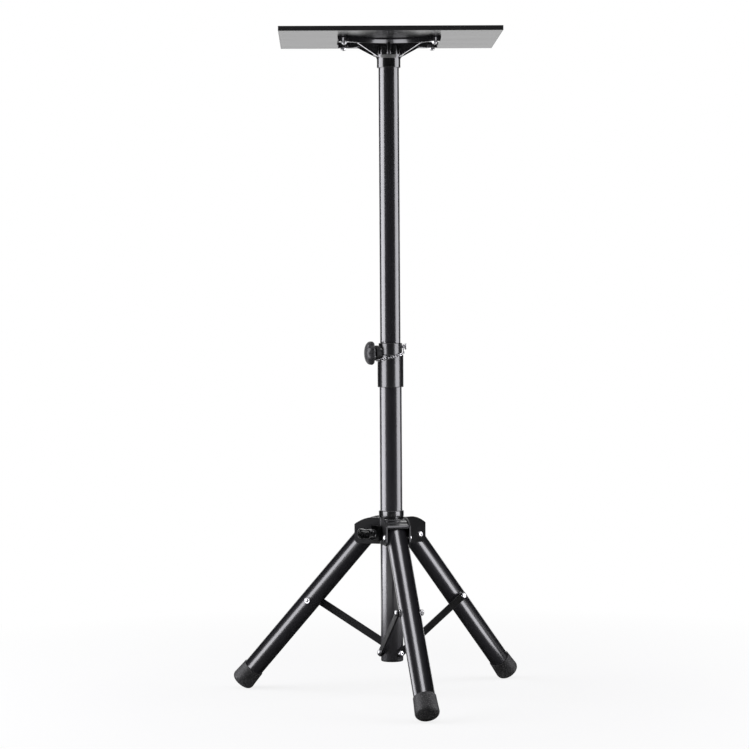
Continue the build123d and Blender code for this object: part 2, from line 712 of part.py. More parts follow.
# Legs: a tube, a rubber cap and the bolt that carries the strut
tube_end = leg_reach - cap_floor
for name, azimuth in legs.items():
    pivot = leg_point(azimuth, 0)
    strut_eye = leg_point(azimuth, strut_leg_distance)
    with BuildPart() as leg_tube:
        with BuildSketch(leg_plane(azimuth, -leg_overrun)):
            Circle(leg_radius)
            Circle(leg_radius - leg_wall, mode=Mode.SUBTRACT)
        extrude(amount=leg_overrun + tube_end)
        with BuildSketch(side_plane(pivot, azimuth, -leg_od)):
            Circle(pivot_bolt_diameter / 2 + pin_clearance)
        extrude(amount=2 * leg_od, mode=Mode.SUBTRACT)
        with BuildSketch(side_plane(strut_eye, azimuth, -leg_od)):
            Circle(strut_bolt_diameter / 2 + seat_clearance)
        extrude(amount=2 * leg_od, mode=Mode.SUBTRACT)
    leg_tube.part.label = name + "_leg_tube"
    export_step(leg_tube.part, "parts/" + name + "_leg_tube.step")

    leg_line = leg_plane(azimuth, 0)
    with BuildPart() as foot_cap:
        with BuildSketch(Plane(origin=leg_line.origin, x_dir=leg_line.x_dir, z_dir=tangent(azimuth))):
            with BuildLine():
                rounding_centre = (cap_end_radius - cap_rounding, leg_reach - cap_rounding)
                end_round = CenterArc(rounding_centre, cap_rounding, 0, 90)
                Polyline(
                    end_round @ 1,
                    (0, leg_reach),
                    (0, tube_end),
                    (cap_bore, tube_end),
                    (cap_bore, leg_reach - cap_length),
                    (cap_mouth_radius, leg_reach - cap_length),
                    end_round @ 0,
                )
            make_face()
        revolve(axis=Axis(leg_line.origin, leg_line.z_dir))
    foot_cap.part.label = name + "_foot_cap"
    export_step(foot_cap.part, "parts/" + name + "_foot_cap.step")

    with BuildPart() as strut_bolt:
        with BuildSketch(side_plane(strut_eye, azimuth, -strut_outside - washer_clearance - strut_head_height)):
            Circle(strut_head_diameter / 2)
        extrude(amount=strut_head_height)
        head_rim = strut_bolt.edges().sort_by(Axis(strut_eye, tangent(azimuth)))[0]
        fillet(head_rim, strut_head_height * 0.6)
        with BuildSketch(side_plane(strut_eye, azimuth, -strut_outside - washer_clearance)):
            Circle(strut_bolt_diameter / 2)
        extrude(amount=strut_outside + washer_clearance + leg_radius)
        with BuildSketch(side_plane(strut_eye, azimuth, washer_clearance - strut_inside)):
            Circle(strut_washer_diameter / 2)
        extrude(amount=strut_inside - washer_clearance - leg_radius)
        with BuildSketch(side_plane(strut_eye, azimuth, leg_radius)):
            RegularPolygon(strut_head_diameter / 2, 6)
        extrude(amount=strut_nut_height)
    strut_bolt.part.label = name + "_strut_bolt"
    export_step(strut_bolt.part, "parts/" + name + "_strut_bolt.step")

# Struts: flat bars from each leg to the foot of the column, with the lower bolt
for name, azimuth in legs.items():
    strut_eye = leg_point(azimuth, strut_leg_distance)
    column_eye = Vector(0, 0, strut_column_height)
    outward = leg_pivot_radius + strut_leg_distance * spread_sin
    upward = strut_eye.Z - strut_column_height
    strut_length = sqrt(outward ** 2 + upward ** 2)
    strut_middle = (strut_eye + column_eye) * 0.5 - tangent(azimuth) * strut_inside
    strut_along = (strut_eye - column_eye).normalized()
    with BuildPart() as strut:
        with BuildSketch(Plane(origin=strut_middle, x_dir=strut_along, z_dir=-tangent(azimuth))):
            SlotCenterToCenter(strut_length, strut_width)
            with Locations((strut_length / 2, 0)):
                Circle(strut_bolt_diameter / 2 + pin_clearance, mode=Mode.SUBTRACT)
            with Locations((-strut_length / 2, 0)):
                Circle(strut_bolt_diameter / 2 + seat_clearance, mode=Mode.SUBTRACT)
        extrude(amount=strut_thickness)
    strut.part.label = name + "_strut"
    export_step(strut.part, "parts/" + name + "_strut.step")

    with BuildPart() as lower_bolt:
        with BuildSketch(side_plane(column_eye, azimuth, -strut_outside - strut_head_height)):
            Circle(strut_head_diameter / 2)
        extrude(amount=strut_head_height)
        head_rim = lower_bolt.edges().sort_by(Axis(column_eye, tangent(azimuth)))[0]
        fillet(head_rim, strut_head_height * 0.6)
        with BuildSketch(side_plane(column_eye, azimuth, -strut_outside)):
            Circle(strut_bolt_diameter / 2)
        extrude(amount=strut_outside - column_radius - pin_clearance)
    lower_bolt.part.label = name + "_lower_bolt"
    export_step(lower_bolt.part, "parts/" + name + "_lower_bolt.step")
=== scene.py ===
"""Portable projector stand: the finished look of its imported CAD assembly, as a Blender add-on.

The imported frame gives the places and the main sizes. Every piece is remade here as a denser surface with
rounded edges and has a procedural finish. The stage stands for the plain white studio of the photo.
"""

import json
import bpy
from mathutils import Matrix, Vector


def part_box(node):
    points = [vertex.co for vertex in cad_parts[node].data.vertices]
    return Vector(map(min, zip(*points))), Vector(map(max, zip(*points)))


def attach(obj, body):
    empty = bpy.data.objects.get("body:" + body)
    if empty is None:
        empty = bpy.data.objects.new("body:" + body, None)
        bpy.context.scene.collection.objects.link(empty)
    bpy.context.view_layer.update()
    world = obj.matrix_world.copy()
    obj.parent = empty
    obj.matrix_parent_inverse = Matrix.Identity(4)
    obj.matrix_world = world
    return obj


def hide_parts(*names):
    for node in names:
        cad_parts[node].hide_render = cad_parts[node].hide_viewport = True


bl_info = {
    "name": "Portable Projector Stand",
    "version": (1, 0, 0),
    "blender": (4, 5, 0),
    "location": "View3D > Sidebar > Stand",
    "description": "Builds the finished pieces of a portable projector stand on its CAD frame",
    "category": "Add Mesh",
}

from functools import partial
from math import cos, pi, radians, sin
from typing import NamedTuple

import bmesh
import bpy
import numpy as np
from bpy.props import FloatProperty, FloatVectorProperty, IntProperty, PointerProperty
from mathutils import Matrix

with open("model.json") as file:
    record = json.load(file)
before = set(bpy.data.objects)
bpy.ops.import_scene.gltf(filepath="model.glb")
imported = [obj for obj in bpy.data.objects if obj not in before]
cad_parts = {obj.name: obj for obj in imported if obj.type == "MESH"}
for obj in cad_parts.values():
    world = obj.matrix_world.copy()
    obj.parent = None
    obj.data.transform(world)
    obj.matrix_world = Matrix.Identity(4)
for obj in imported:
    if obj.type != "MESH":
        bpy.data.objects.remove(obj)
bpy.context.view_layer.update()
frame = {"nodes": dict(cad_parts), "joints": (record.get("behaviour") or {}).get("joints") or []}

LEGS = ("front", "right", "left")

# Directions of the frame; a vector times FLAT loses its height
UP = np.array((0.0, 0.0, 1.0))
EAST = np.array((1.0, 0.0, 0.0))
NORTH = np.array((0.0, 1.0, 0.0))
FLAT = np.array((1.0, 1.0, 0.0))

# Signs of x and y at the corners of a rectangle, counter-clockwise
CORNERS = np.array(((1, 1), (-1, 1), (-1, -1), (1, -1)))

# Angle from which an edge is sharp, distance under which points are one, and how far the foot caps keep
# inside the box of their solids
SHARP = radians(35)
WELD = 2e-6
HAIR = 1e-5

# Gap beside a part that slides or turns, rounding of a fine edge, and bevel of the pierced tubes
SLIDE = 0.0003
FINE_EDGE = 0.0003
TUBE_BEVEL = 0.00025

# Nose of a hub web over its pivot, and the steps above it as distances from the mast and heights over the
# pivot
WEB_NOSE = 0.0185
WEB_STEPS = ((0.055, 0.0218), (0.047, 0.0245), (0.047, 0.0263), (0.036, 0.0288), (0.036, 0.0302))

# Bolts of the struts: radius of heads and nuts, height of heads, radius of shanks
HEAD_RADIUS = 0.00525
HEAD_HEIGHT = 0.0032
SHANK = 0.003

# Rows of the hub knob's grip, from its back over the groove round it to the hollow in its front: the size of
# the outline, and how deep it lies as a share of the grip
GRIP_ROWS = (
    (0.55, 0.0), (0.8, 0.0), (0.9, 0.04), (0.97, 0.12), (1.0, 0.24), (1.0, 0.36), (0.9, 0.43),
    (0.9, 0.53), (1.0, 0.6), (0.98, 0.8), (0.92, 0.92), (0.84, 0.985), (0.74, 1.0), (0.66, 0.97),
    (0.6, 0.82), (0.45, 0.8),
)

# Colour of the lamps, and width of the camera's sensor in millimetres
COOL_WHITE = (0.955, 0.945, 1.0)
SENSOR = 36.0

# Strip lights: the leg, the angle of its bright band from the line nearest the camera, the strip's width as
# an angle seen from the leg, and its brightness
LEG_STRIPS = (
    ("front", radians(-53.0), radians(30.0), 3.1),
    ("front", radians(2.0), radians(28.0), 4.6),
    ("right", radians(12.0), radians(30.0), 4.5),
    ("left", radians(-18.5), radians(34.0), 4.5),
)


# Measures taken from the frame

class Line(NamedTuple):
    """An axis in space: a point on it, its direction and two unit vectors across it."""

    origin: np.ndarray
    axis: np.ndarray
    side: np.ndarray
    third: np.ndarray


class Span(NamedTuple):
    """How far a node reaches along a line and away from it."""

    low: float
    high: float
    near: float
    far: float


def unit(vector):
    """Vector of length 1 in the same direction."""
    vector = np.asarray(vector, float)
    return vector / np.linalg.norm(vector)


def spun(angle):
    """Matrix of a turn about the mast."""
    return np.array(((cos(angle), -sin(angle), 0.0), (sin(angle), cos(angle), 0.0), (0.0, 0.0, 1.0)))


def line(origin, axis, side=UP):
    """Line through a point; its side is the given direction without its part along the axis."""
    axis = unit(axis)
    side = np.asarray(side, float)
    side = unit(side - axis * (side @ axis))
    return Line(np.asarray(origin, float), axis, side, np.cross(axis, side))


MAST = line((0.0, 0.0, 0.0), UP, EAST)


def points_of(node):
    """Vertices of a CAD node as an array of points."""
    mesh = frame["nodes"][node].data
    points = np.empty(len(mesh.vertices) * 3, np.float32)
    mesh.vertices.foreach_get("co", points)
    return points.reshape(-1, 3).astype(float)


def span(node, around):
    """Reach of a node: places along a line are projections on its axis, distances are what is left over."""
    offset = points_of(node) - around.origin
    along = offset @ around.axis
    away = np.linalg.norm(offset - np.outer(along, around.axis), axis=1)
    return Span(along.min(), along.max(), away.min(), away.max())


def joint(name):
    """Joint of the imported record, by its name."""
    return next(item for item in frame["joints"] if item["name"] == name)


def joint_line(name, side=UP):
    """Line of a hinge."""
    found = joint(name)
    return line(found["pos_m"], found["axis"], side)


def leg_line(name):
    """Line down a leg from its pivot, with the pivot's axis as its side."""
    pivot, eye = joint_line(name + "_leg_pivot"), joint_line(name + "_strut_pivot")
    return line(pivot.origin, eye.origin - pivot.origin, pivot.axis)


# Surfaces as arrays

def full_turn(segments):
    """Angles of that many equal steps round a circle."""
    return np.linspace(0, 2 * pi, segments, endpoint=False)


def on_circle(turn):
    """Points (cos a, sin a) of the unit circle at the given angles."""
    return np.stack([np.cos(turn), np.sin(turn)], axis=-1)


def quads(rows, columns, wrap_rows=False, wrap_columns=True):
    """Faces of a grid: each joins a point, its neighbour in the row and the two above them."""
    row, column = np.meshgrid(
        np.arange(rows if wrap_rows else rows - 1),
        np.arange(columns if wrap_columns else columns - 1),
        indexing="ij",
    )
    here, above = row * columns, (row + 1) % rows * columns
    beside = (column + 1) % columns
    return np.stack([here + column, here + beside, above + beside, above + column], axis=-1).reshape(-1, 4)


def joined(*patches):
    """One patch out of several, with the face numbers moved on by the points before them."""
    starts = np.cumsum([0] + [len(points) for points, _ in patches])
    faces = [faces + start for (_, faces), start in zip(patches, starts)]
    return np.concatenate([points for points, _ in patches]), np.concatenate(faces)


def rounded(points, radius, closed=False, steps=5):
    """Outline with its corners rounded: each corner becomes a quadratic curve that starts and ends at the
    given distance from it along both sides and has the corner as its middle control point."""
    points = np.asarray(points, float)
    before, corner, after = points[:-2], points[1:-1], points[2:]
    if closed:
        before, corner, after = np.roll(points, 1, axis=0), points, np.roll(points, -1, axis=0)
    back, forth = before - corner, after - corner
    back_length = np.linalg.norm(back, axis=1, keepdims=True)
    forth_length = np.linalg.norm(forth, axis=1, keepdims=True)
    # Just under half a side, so that the cuts at its two ends never meet
    room = 0.49 * np.minimum(back_length, forth_length)
    cut = np.minimum(np.broadcast_to(radius, len(corner))[:, None], room)
    start = (corner + back / back_length * cut)[:, None]
    end = (corner + forth / forth_length * cut)[:, None]
    share = np.linspace(0, 1, steps)[None, :, None]
    curve = (1 - share) ** 2 * start + 2 * share * (1 - share) * corner[:, None] + share ** 2 * end
    curve = curve.reshape(-1, points.shape[1])
    return curve if closed else np.concatenate([points[:1], curve, points[-1:]])


def turned(profile, around, segments=96, closed=False, wave=1.0, lift=0.0):
    """Turned surface: a profile of (distance, place) pairs carried round a line. The point at angle a is
    origin + (place + lift) * axis + distance * wave * (cos a * side + sin a * third)."""
    distance, place = np.asarray(profile, float).T
    angle = full_turn(segments)
    spokes = np.outer(np.cos(angle), around.side) + np.outer(np.sin(angle), around.third)
    reach = np.broadcast_to(distance[:, None] * wave, (len(distance), segments))
    height = np.broadcast_to(place[:, None] + lift, (len(distance), segments))
    points = around.origin + height[..., None] * around.axis + reach[..., None] * spokes
    return points.reshape(-1, 3), quads(len(distance), segments, wrap_rows=closed)


def rod(radius, low, high, around):
    """Plain round bar between two places on a line."""
    return turned(((0.0, low), (radius, low), (radius, high), (0.0, high)), around, segments=48)


def threaded(low, high, radius, around, pitch=0.00125, depth=0.33):
    """Threaded bar: once in every turn of thread the radius falls and rises by the depth times the pitch."""
    turns = int((high - low) / pitch)
    step = np.arange(4 * turns + 1)
    place = np.linspace(low, high, len(step))
    ridge = radius - depth * pitch * (0.5 + 0.5 * np.cos(step * pi / 2))
    profile = np.concatenate([[(0.0, low)], np.stack([ridge, place], axis=1), [(0.0, high)]])
    return turned(profile, around, segments=32)


def six_sided(rows, around, segments=96):
    """Turned surface whose rows are round or six-sided: each row is (distance, place, share). At share 1 its
    distance is times cos(pi / 6) / cos(a - pi / 6), with a the angle from the last corner of the hexagon."""
    distance, place, share = np.asarray(rows, float).T
    angle = full_turn(segments)
    hexagon = cos(pi / 6) / np.cos(angle % (pi / 3) - pi / 6)
    wave = 1 + share[:, None] * (hexagon[None] - 1)
    return turned(np.stack([distance, place], axis=1), around, segments, wave=wave)


def pierced(tube, holes, around, segments=96, rows=60, core=3, reach=6):
    """Tube wall with round holes, as a grid in angle and place. Round each hole a square of cells is drawn
    in: its core square becomes the hole's circle, its outer square stays, and the cells between go over from
    one to the other in proportion. The faces inside the circle are left out."""
    step = 2 * pi * tube.far / segments
    half_cell = 0.5
    angle = full_turn(segments)
    centres = np.unique([place for _, place, _ in holes])
    plain = np.linspace(tube.low, tube.high, rows)
    plain = plain[np.abs(plain[:, None] - centres).min(axis=1) > (reach + half_cell) * step]
    blocks = (centres[:, None] + np.arange(-reach, reach + 1) * step).ravel()
    place = np.unique(np.concatenate([[tube.low, tube.high], plain, blocks]))
    turn = np.broadcast_to(angle, (len(place), segments)).copy()
    height = np.broadcast_to(place[:, None], turn.shape).copy()
    inside = np.zeros(turn.shape, bool)
    for hole_turn, hole_place, radius in holes:
        across = ((angle - hole_turn + pi) % (2 * pi) - pi)[None] * tube.far
        up = place[:, None] - hole_place
        square = np.maximum(np.abs(across), np.abs(up)) / step
        share = np.clip((square - core) / (reach - core), 0, 1)
        # The hole's own centre has no distance to divide by
        away = np.maximum(np.hypot(across, up), step / 10)
        pull = share + (1 - share) * radius / away - 1
        turn += across * pull / tube.far
        height += up * pull
        inside |= square < core + half_cell
    spokes = np.cos(turn)[..., None] * around.side + np.sin(turn)[..., None] * around.third
    points = (around.origin + height[..., None] * around.axis + tube.far * spokes).reshape(-1, 3)
    faces = quads(len(place), segments)
    faces = faces[~inside.ravel()[faces].all(axis=1)]
    used, faces = np.unique(faces, return_inverse=True)
    return points[used], faces.reshape(-1, 4)


def layered(rings, heights, place):
    """Rings of (x, y) points stacked at heights over a line's origin: x runs along its side, y along its
    third vector and height along its axis. The first and the last ring are closed at their mean point."""
    rings, heights = np.asarray(rings, float), np.asarray(heights, float)
    first, last = (np.broadcast_to(ring.mean(axis=0), rings[:1].shape) for ring in (rings[0], rings[-1]))
    rings = np.concatenate([first, rings, last])
    heights = np.concatenate([heights[:1], heights, heights[-1:]])
    points = place.origin + rings[..., :1] * place.side + rings[..., 1:] * place.third
    points = points + heights[:, None, None] * place.axis
    return points.reshape(-1, 3), quads(len(rings), rings.shape[1])


def drawn_in(ring, inset):
    """Closed outline, counter-clockwise, moved inwards: each point goes along the sum of the normals of its
    two sides, divided by 1 plus their product, so that both sides move by the inset."""
    ahead = np.roll(ring, -1, axis=0) - ring
    ahead = ahead / np.linalg.norm(ahead, axis=1, keepdims=True)
    normal = np.stack([-ahead[:, 1], ahead[:, 0]], axis=1)
    before = np.roll(normal, 1, axis=0)
    return ring + inset * (normal + before) / (1 + (normal * before).sum(axis=1, keepdims=True))


def arc(start, middle, end, steps):
    """Points on the circle through three points, from the first up to the last, which is left out. In
    complex numbers the centre is a + (b - a) * (w - |w|^2) / (2i Im w), with w = (c - a) / (b - a)."""
    first, second, third = (complex(*point) for point in (start, middle, end))
    ratio = (third - first) / (second - first)
    centre = first + (second - first) * (ratio - abs(ratio) ** 2) / (2j * ratio.imag)
    sweep = np.angle((third - centre) / (first - centre)) % (2 * pi)
    passed = np.angle((second - centre) / (first - centre)) % (2 * pi)
    sweep -= 2 * pi * (passed > sweep)
    points = centre + (first - centre) * np.exp(1j * sweep * np.arange(steps) / steps)
    return np.stack([points.real, points.imag], axis=1)


def slab_rows(thickness, edge, flat=0.0003, steps=5):
    """Insets and heights of a flat slab whose two rims are quarter circles, each with a flat band inside it,
    which keeps the shading of the faces even."""
    turn = np.linspace(0, pi / 2, steps)
    inset = np.append(edge + flat, edge * (1 - np.sin(turn)))
    rise = np.append(0.0, edge * (1 - np.cos(turn)))
    return np.concatenate([inset, inset[::-1]]), np.concatenate([rise, thickness - rise[::-1]])


def slab(outline, thickness, place, edge, corner):
    """Flat slab of an outline, with its corners and both its rims rounded."""
    insets, heights = slab_rows(thickness, edge)
    rings = [rounded(drawn_in(np.asarray(outline, float), inset), corner, closed=True) for inset in insets]
    return layered(rings, heights, place)


def box_ring(half_x, half_y, corner, steps=7):
    """Outline of a rectangle with quarter circles at its corners."""
    turn = np.linspace(0, pi / 2, steps) + np.arange(4)[:, None] * pi / 2
    middles = CORNERS[:, None, :] * (half_x - corner, half_y - corner)
    return (middles + corner * on_circle(turn)).reshape(-1, 2)


def bar_ring(length, radius, steps=17):
    """Outline of a bar with round ends, from its first eye at 0 to its second at the length."""
    end = radius * on_circle(np.linspace(-pi / 2, pi / 2, steps))
    return np.concatenate([end + (length, 0), -end])


# Pieces

def piece(name, patch, body, slot, *nodes, look=None, wall=0.0, bevel=0.0):
    """Object made of a patch: welded at seams and poles, smooth but for sharp edges, and riding on its body.
    A wall makes an open patch solid, and a bevel rounds its sharp edges."""
    points, faces = patch
    mesh = bpy.data.meshes.new(name)
    mesh.from_pydata(points.tolist(), [], faces.tolist())
    shape = bmesh.new()
    shape.from_mesh(mesh)
    bmesh.ops.remove_doubles(shape, verts=shape.verts, dist=WELD)
    bmesh.ops.dissolve_degenerate(shape, edges=shape.edges, dist=WELD / 10)
    shape.to_mesh(mesh)
    shape.free()
    mesh.polygons.foreach_set("use_smooth", np.ones(len(mesh.polygons), bool))
    mesh.set_sharp_from_angle(angle=SHARP)
    mesh.materials.append(finish_of(look or slot))
    made = bpy.data.objects.new(name, mesh)
    bpy.context.scene.collection.objects.link(made)
    if wall:
        shell = made.modifiers.new("Wall", "SOLIDIFY")
        shell.thickness, shell.offset = wall, -1.0
    if bevel:
        edge = made.modifiers.new("Edges", "BEVEL")
        edge.width, edge.segments = bevel, 2
        edge.limit_method, edge.angle_limit = "ANGLE", SHARP
        edge.harden_normals = True
    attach(made, body)
    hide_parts(*nodes)


# Finishes

class Socket:
    """A value in a node tree that takes part in arithmetic. node() adds any other kind of node."""

    def __init__(self, tree, output=None):
        self.tree = tree
        self.output = output

    def node(self, kind, settings, inputs, out=0):
        """New node: its settings are set first, then its sockets are linked or filled."""
        made = self.tree.nodes.new(kind)
        for key, value in settings.items():
            setattr(made, key, value)
        for key, value in inputs.items():
            if isinstance(value, Socket):
                self.tree.links.new(value.output, made.inputs[key])
            else:
                made.inputs[key].default_value = value
        return Socket(self.tree, made.outputs[out] if made.outputs else None)

    def maths(self, operation, first, second):
        """Math node of two values."""
        return self.node("ShaderNodeMath", {"operation": operation}, {0: first, 1: second})

    def __add__(self, other):
        return self.maths("ADD", self, other)

    def __sub__(self, other):
        return self.maths("SUBTRACT", self, other)

    def __mul__(self, other):
        return self.maths("MULTIPLY", self, other)

    def __radd__(self, other):
        return self.maths("ADD", other, self)

    def __rsub__(self, other):
        return self.maths("SUBTRACT", other, self)

    def __rmul__(self, other):
        return self.maths("MULTIPLY", other, self)

    def noise(self, place, scale, detail=2.0):
        """Noise between about 0 and 1 at the given number of cells to a metre."""
        return self.node("ShaderNodeTexNoise", {}, {"Vector": place, "Scale": scale, "Detail": detail})

    def stretched(self, place, scale):
        """Place with each of its directions scaled."""
        return self.node("ShaderNodeMapping", {}, {"Vector": place, "Scale": scale})

    def between(self, value, low, high, start=0.0, end=1.0):
        """Value carried from low..high to start..end and held at the ends."""
        ends = {0: value, 1: low, 2: high, 3: start, 4: end}
        return self.node("ShaderNodeMapRange", {"clamp": True}, ends)

    def blend(self, share, dark, light):
        """Colour between two colours."""
        colours = {0: share, 6: (*dark, 1), 7: (*light, 1)}
        return self.node("ShaderNodeMix", {"data_type": "RGBA"}, colours, out=2)

    def length(self, place):
        """Length of a vector."""
        return self.node("ShaderNodeVectorMath", {"operation": "LENGTH"}, {0: place}, out="Value")

    def bump(self, height, strength, distance):
        """Normal of a surface with that height."""
        relief = {"Strength": strength, "Distance": distance, "Height": height}
        return self.node("ShaderNodeBump", {}, relief)


def new_finish(name):
    """Empty material, its node tree's root and the place of a point in its object's own coordinates."""
    material = bpy.data.materials.new(name)
    material.use_nodes = True
    material.node_tree.nodes.clear()
    root = Socket(material.node_tree)
    return material, root, root.node("ShaderNodeTexCoord", {}, {}, out="Object")


def grey(level):
    """Opaque grey of that level."""
    return level, level, level, 1.0


def close_finish(root, inputs):
    """Principled shader and output at the end of a finish."""
    shader = root.node("ShaderNodeBsdfPrincipled", {}, inputs)
    root.node("ShaderNodeOutputMaterial", {}, {"Surface": shader})


def times(factor, colour):
    """Colour made lighter or darker by a factor."""
    return [factor * value for value in colour]


def gloss_paint(name, dark, rough, coat):
    """Gloss paint under a clear coat: a faint orange-peel skin, cloudy gloss and fine upright scuffs."""
    material, root, place = new_finish(name)
    cloud = root.noise(place, scale=14.0, detail=3.0)
    skin = root.noise(place, scale=420.0)
    streak = root.noise(root.stretched(place, (900.0, 900.0, 18.0)), scale=1.0, detail=4.0)
    scuff = root.between(streak, low=0.58, high=0.78)
    close_finish(root, {
        "Base Color": root.blend(cloud, dark, times(1.5, dark)),
        "Roughness": rough + 0.05 * cloud + 0.06 * scuff,
        "IOR": 1.75,
        "Coat Weight": 0.9 - 0.25 * scuff,
        "Coat Roughness": coat,
        "Coat IOR": 1.6,
        "Normal": root.bump(skin, strength=0.035, distance=0.0002),
    })
    return material


def satin_sheet(name, dark):
    """Satin powder coat on sheet: an even grain with light specks, and wide wipe marks in its gloss."""
    material, root, place = new_finish(name)
    grain = root.noise(place, scale=1300.0, detail=3.0)
    wipe = root.noise(root.stretched(place, (6.0, 30.0, 30.0)), scale=1.0, detail=4.0)
    speck = root.between(root.noise(place, scale=2600.0, detail=1.0), low=0.66, high=0.8)
    close_finish(root, {
        "Base Color": root.blend(0.3 * wipe + 0.3 * speck, dark, times(2.0, dark)),
        "Roughness": 0.22 + 0.06 * wipe,
        "IOR": 1.75,
        "Normal": root.bump(grain, strength=0.22, distance=0.00015),
    })
    return material


def moulded_plastic(name, dark, rough, coat=0.0):
    """Moulded black plastic: a fine spark-eroded grain with cloudy gloss, polished where it has a coat."""
    material, root, place = new_finish(name)
    grain = root.noise(place, scale=2100.0)
    cloud = root.noise(place, scale=40.0, detail=3.0)
    close_finish(root, {
        "Base Color": root.blend(cloud, dark, times(1.6, dark)),
        "Roughness": rough + 0.12 * cloud,
        "IOR": 1.5 + 0.25 * coat,
        "Coat Weight": coat,
        "Coat Roughness": 0.08,
        "Coat IOR": 1.6,
        "Normal": root.bump(grain, strength=0.18, distance=0.00012),
    })
    return material


def collar_plastic(name, dark, body):
    """Moulded collar: glossy, and dull on its boss, which lies outside the body's radius."""
    material, root, place = new_finish(name)
    away = root.length(root.stretched(place, FLAT))
    boss = root.between(away, low=body + 0.0002, high=body + 0.001)
    cloud = root.noise(place, scale=60.0, detail=3.0)
    grain = root.noise(place, scale=1800.0)
    close_finish(root, {
        "Base Color": root.blend(cloud, dark, times(1.6, dark)),
        "Roughness": 0.26 + 0.36 * boss + 0.05 * cloud,
        "IOR": 1.75,
        "Coat Weight": 0.9 * (1.0 - boss),
        "Coat Roughness": 0.18,
        "Normal": root.bump(grain, strength=0.1, distance=0.0001),
    })
    return material


def matte_steel(name, dark):
    """Matte black paint on pressed steel: a coarse powder grain, lighter and shinier in rubbed patches."""
    material, root, place = new_finish(name)
    grain = root.noise(place, scale=1000.0, detail=4.0)
    rub = root.between(root.noise(place, scale=55.0, detail=5.0), low=0.5, high=0.75)
    close_finish(root, {
        "Base Color": root.blend(rub, dark, times(1.7, dark)),
        "Roughness": 0.4 - 0.1 * rub,
        "IOR": 1.42,
        "Normal": root.bump(grain, strength=0.25, distance=0.0002),
    })
    return material


def grained_rubber(name, dark, dust):
    """Black rubber: a leathery grain with light specks, and a little floor dust on its lowest part."""
    material, root, place = new_finish(name)
    height = root.node("ShaderNodeSeparateXYZ", {}, {"Vector": place}, out="Z")
    grain = root.noise(place, scale=900.0, detail=3.0)
    speck = root.between(root.noise(place, scale=700.0), low=0.54, high=0.66)
    ragged = height + 0.012 * root.noise(place, scale=160.0, detail=4.0)
    dusty = root.between(ragged, low=0.004, high=0.024, start=1.0, end=0.0)
    close_finish(root, {
        "Base Color": root.blend(0.2 * dusty + 0.7 * speck, dark, dust),
        "Roughness": 0.5 + 0.16 * grain,
        "IOR": 1.5,
        "Normal": root.bump(grain, strength=0.6, distance=0.0003),
    })
    return material


def bright_plating(name, bright, rough):
    """Bright plating: clouded, with hairline scratches in its gloss."""
    material, root, place = new_finish(name)
    cloud = root.noise(place, scale=120.0, detail=3.0)
    hairline = root.noise(root.stretched(place, (3000.0, 400.0, 900.0)), scale=1.0)
    scratch = root.between(hairline, low=0.55, high=0.75)
    close_finish(root, {
        "Base Color": root.blend(cloud, times(0.86, bright), bright),
        "Metallic": 1.0,
        "Roughness": rough + 0.1 * cloud + 0.1 * scratch,
        "Normal": root.bump(scratch, strength=0.04, distance=0.0001),
    })
    return material


def finish_of(look):
    """Material of that look, made the first time it is asked for."""
    colours = bpy.context.scene.stand_colours
    name = look + "_finish"
    makers = {
        "gloss_black": lambda: gloss_paint(name, colours.paint, rough=0.22, coat=0.12),
        "gloss_column": lambda: gloss_paint(name, colours.paint, rough=0.27, coat=0.16),
        "gloss_legs": lambda: gloss_paint(name, colours.leg_paint, rough=0.28, coat=0.2),
        "collar": lambda: collar_plastic(name, colours.plastic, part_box("height_collar")[1].x),
        "gloss_bracket": lambda: moulded_plastic(name, colours.plastic, rough=0.14, coat=0.9),
        "gloss_hub": lambda: moulded_plastic(name, colours.plastic, rough=0.2, coat=0.9),
        "satin_black_sheet": lambda: satin_sheet(name, colours.sheet),
        "black_plastic": lambda: moulded_plastic(name, colours.plastic, rough=0.3),
        # The knob's finish is lighter than the other plastic: partly its own dull grey, partly painted sheen
        # standing in for reflected light
        "grey_and_sheen_knob": lambda: moulded_plastic(name, colours.knob, rough=0.34),
        "matte_black_steel": lambda: matte_steel(name, colours.steel),
        "black_rubber": lambda: grained_rubber(name, colours.rubber, colours.dust),
        "chrome": lambda: bright_plating(name, colours.plating, rough=0.24),
        "bright_wire": lambda: bright_plating(name, colours.plating, rough=0.16),
    }
    return bpy.data.materials.get(name) or makers[look]()


# Properties

def length_property(name, description, default):
    """Length in metres that a user may change."""
    return FloatProperty(name=name, description=description, default=default, min=0.0, unit="LENGTH")


def plain_property(name, description, default):
    """Number without a unit that a user may change."""
    return FloatProperty(name=name, description=description, default=default, min=0.0)


def angle_property(name, description, degrees):
    """Angle that a user may change."""
    return FloatProperty(name=name, description=description, default=radians(degrees), subtype="ANGLE")


def colour_property(name, description, default):
    """Colour that a user may change."""
    return FloatVectorProperty(name=name, description=description, default=default, subtype="COLOR")


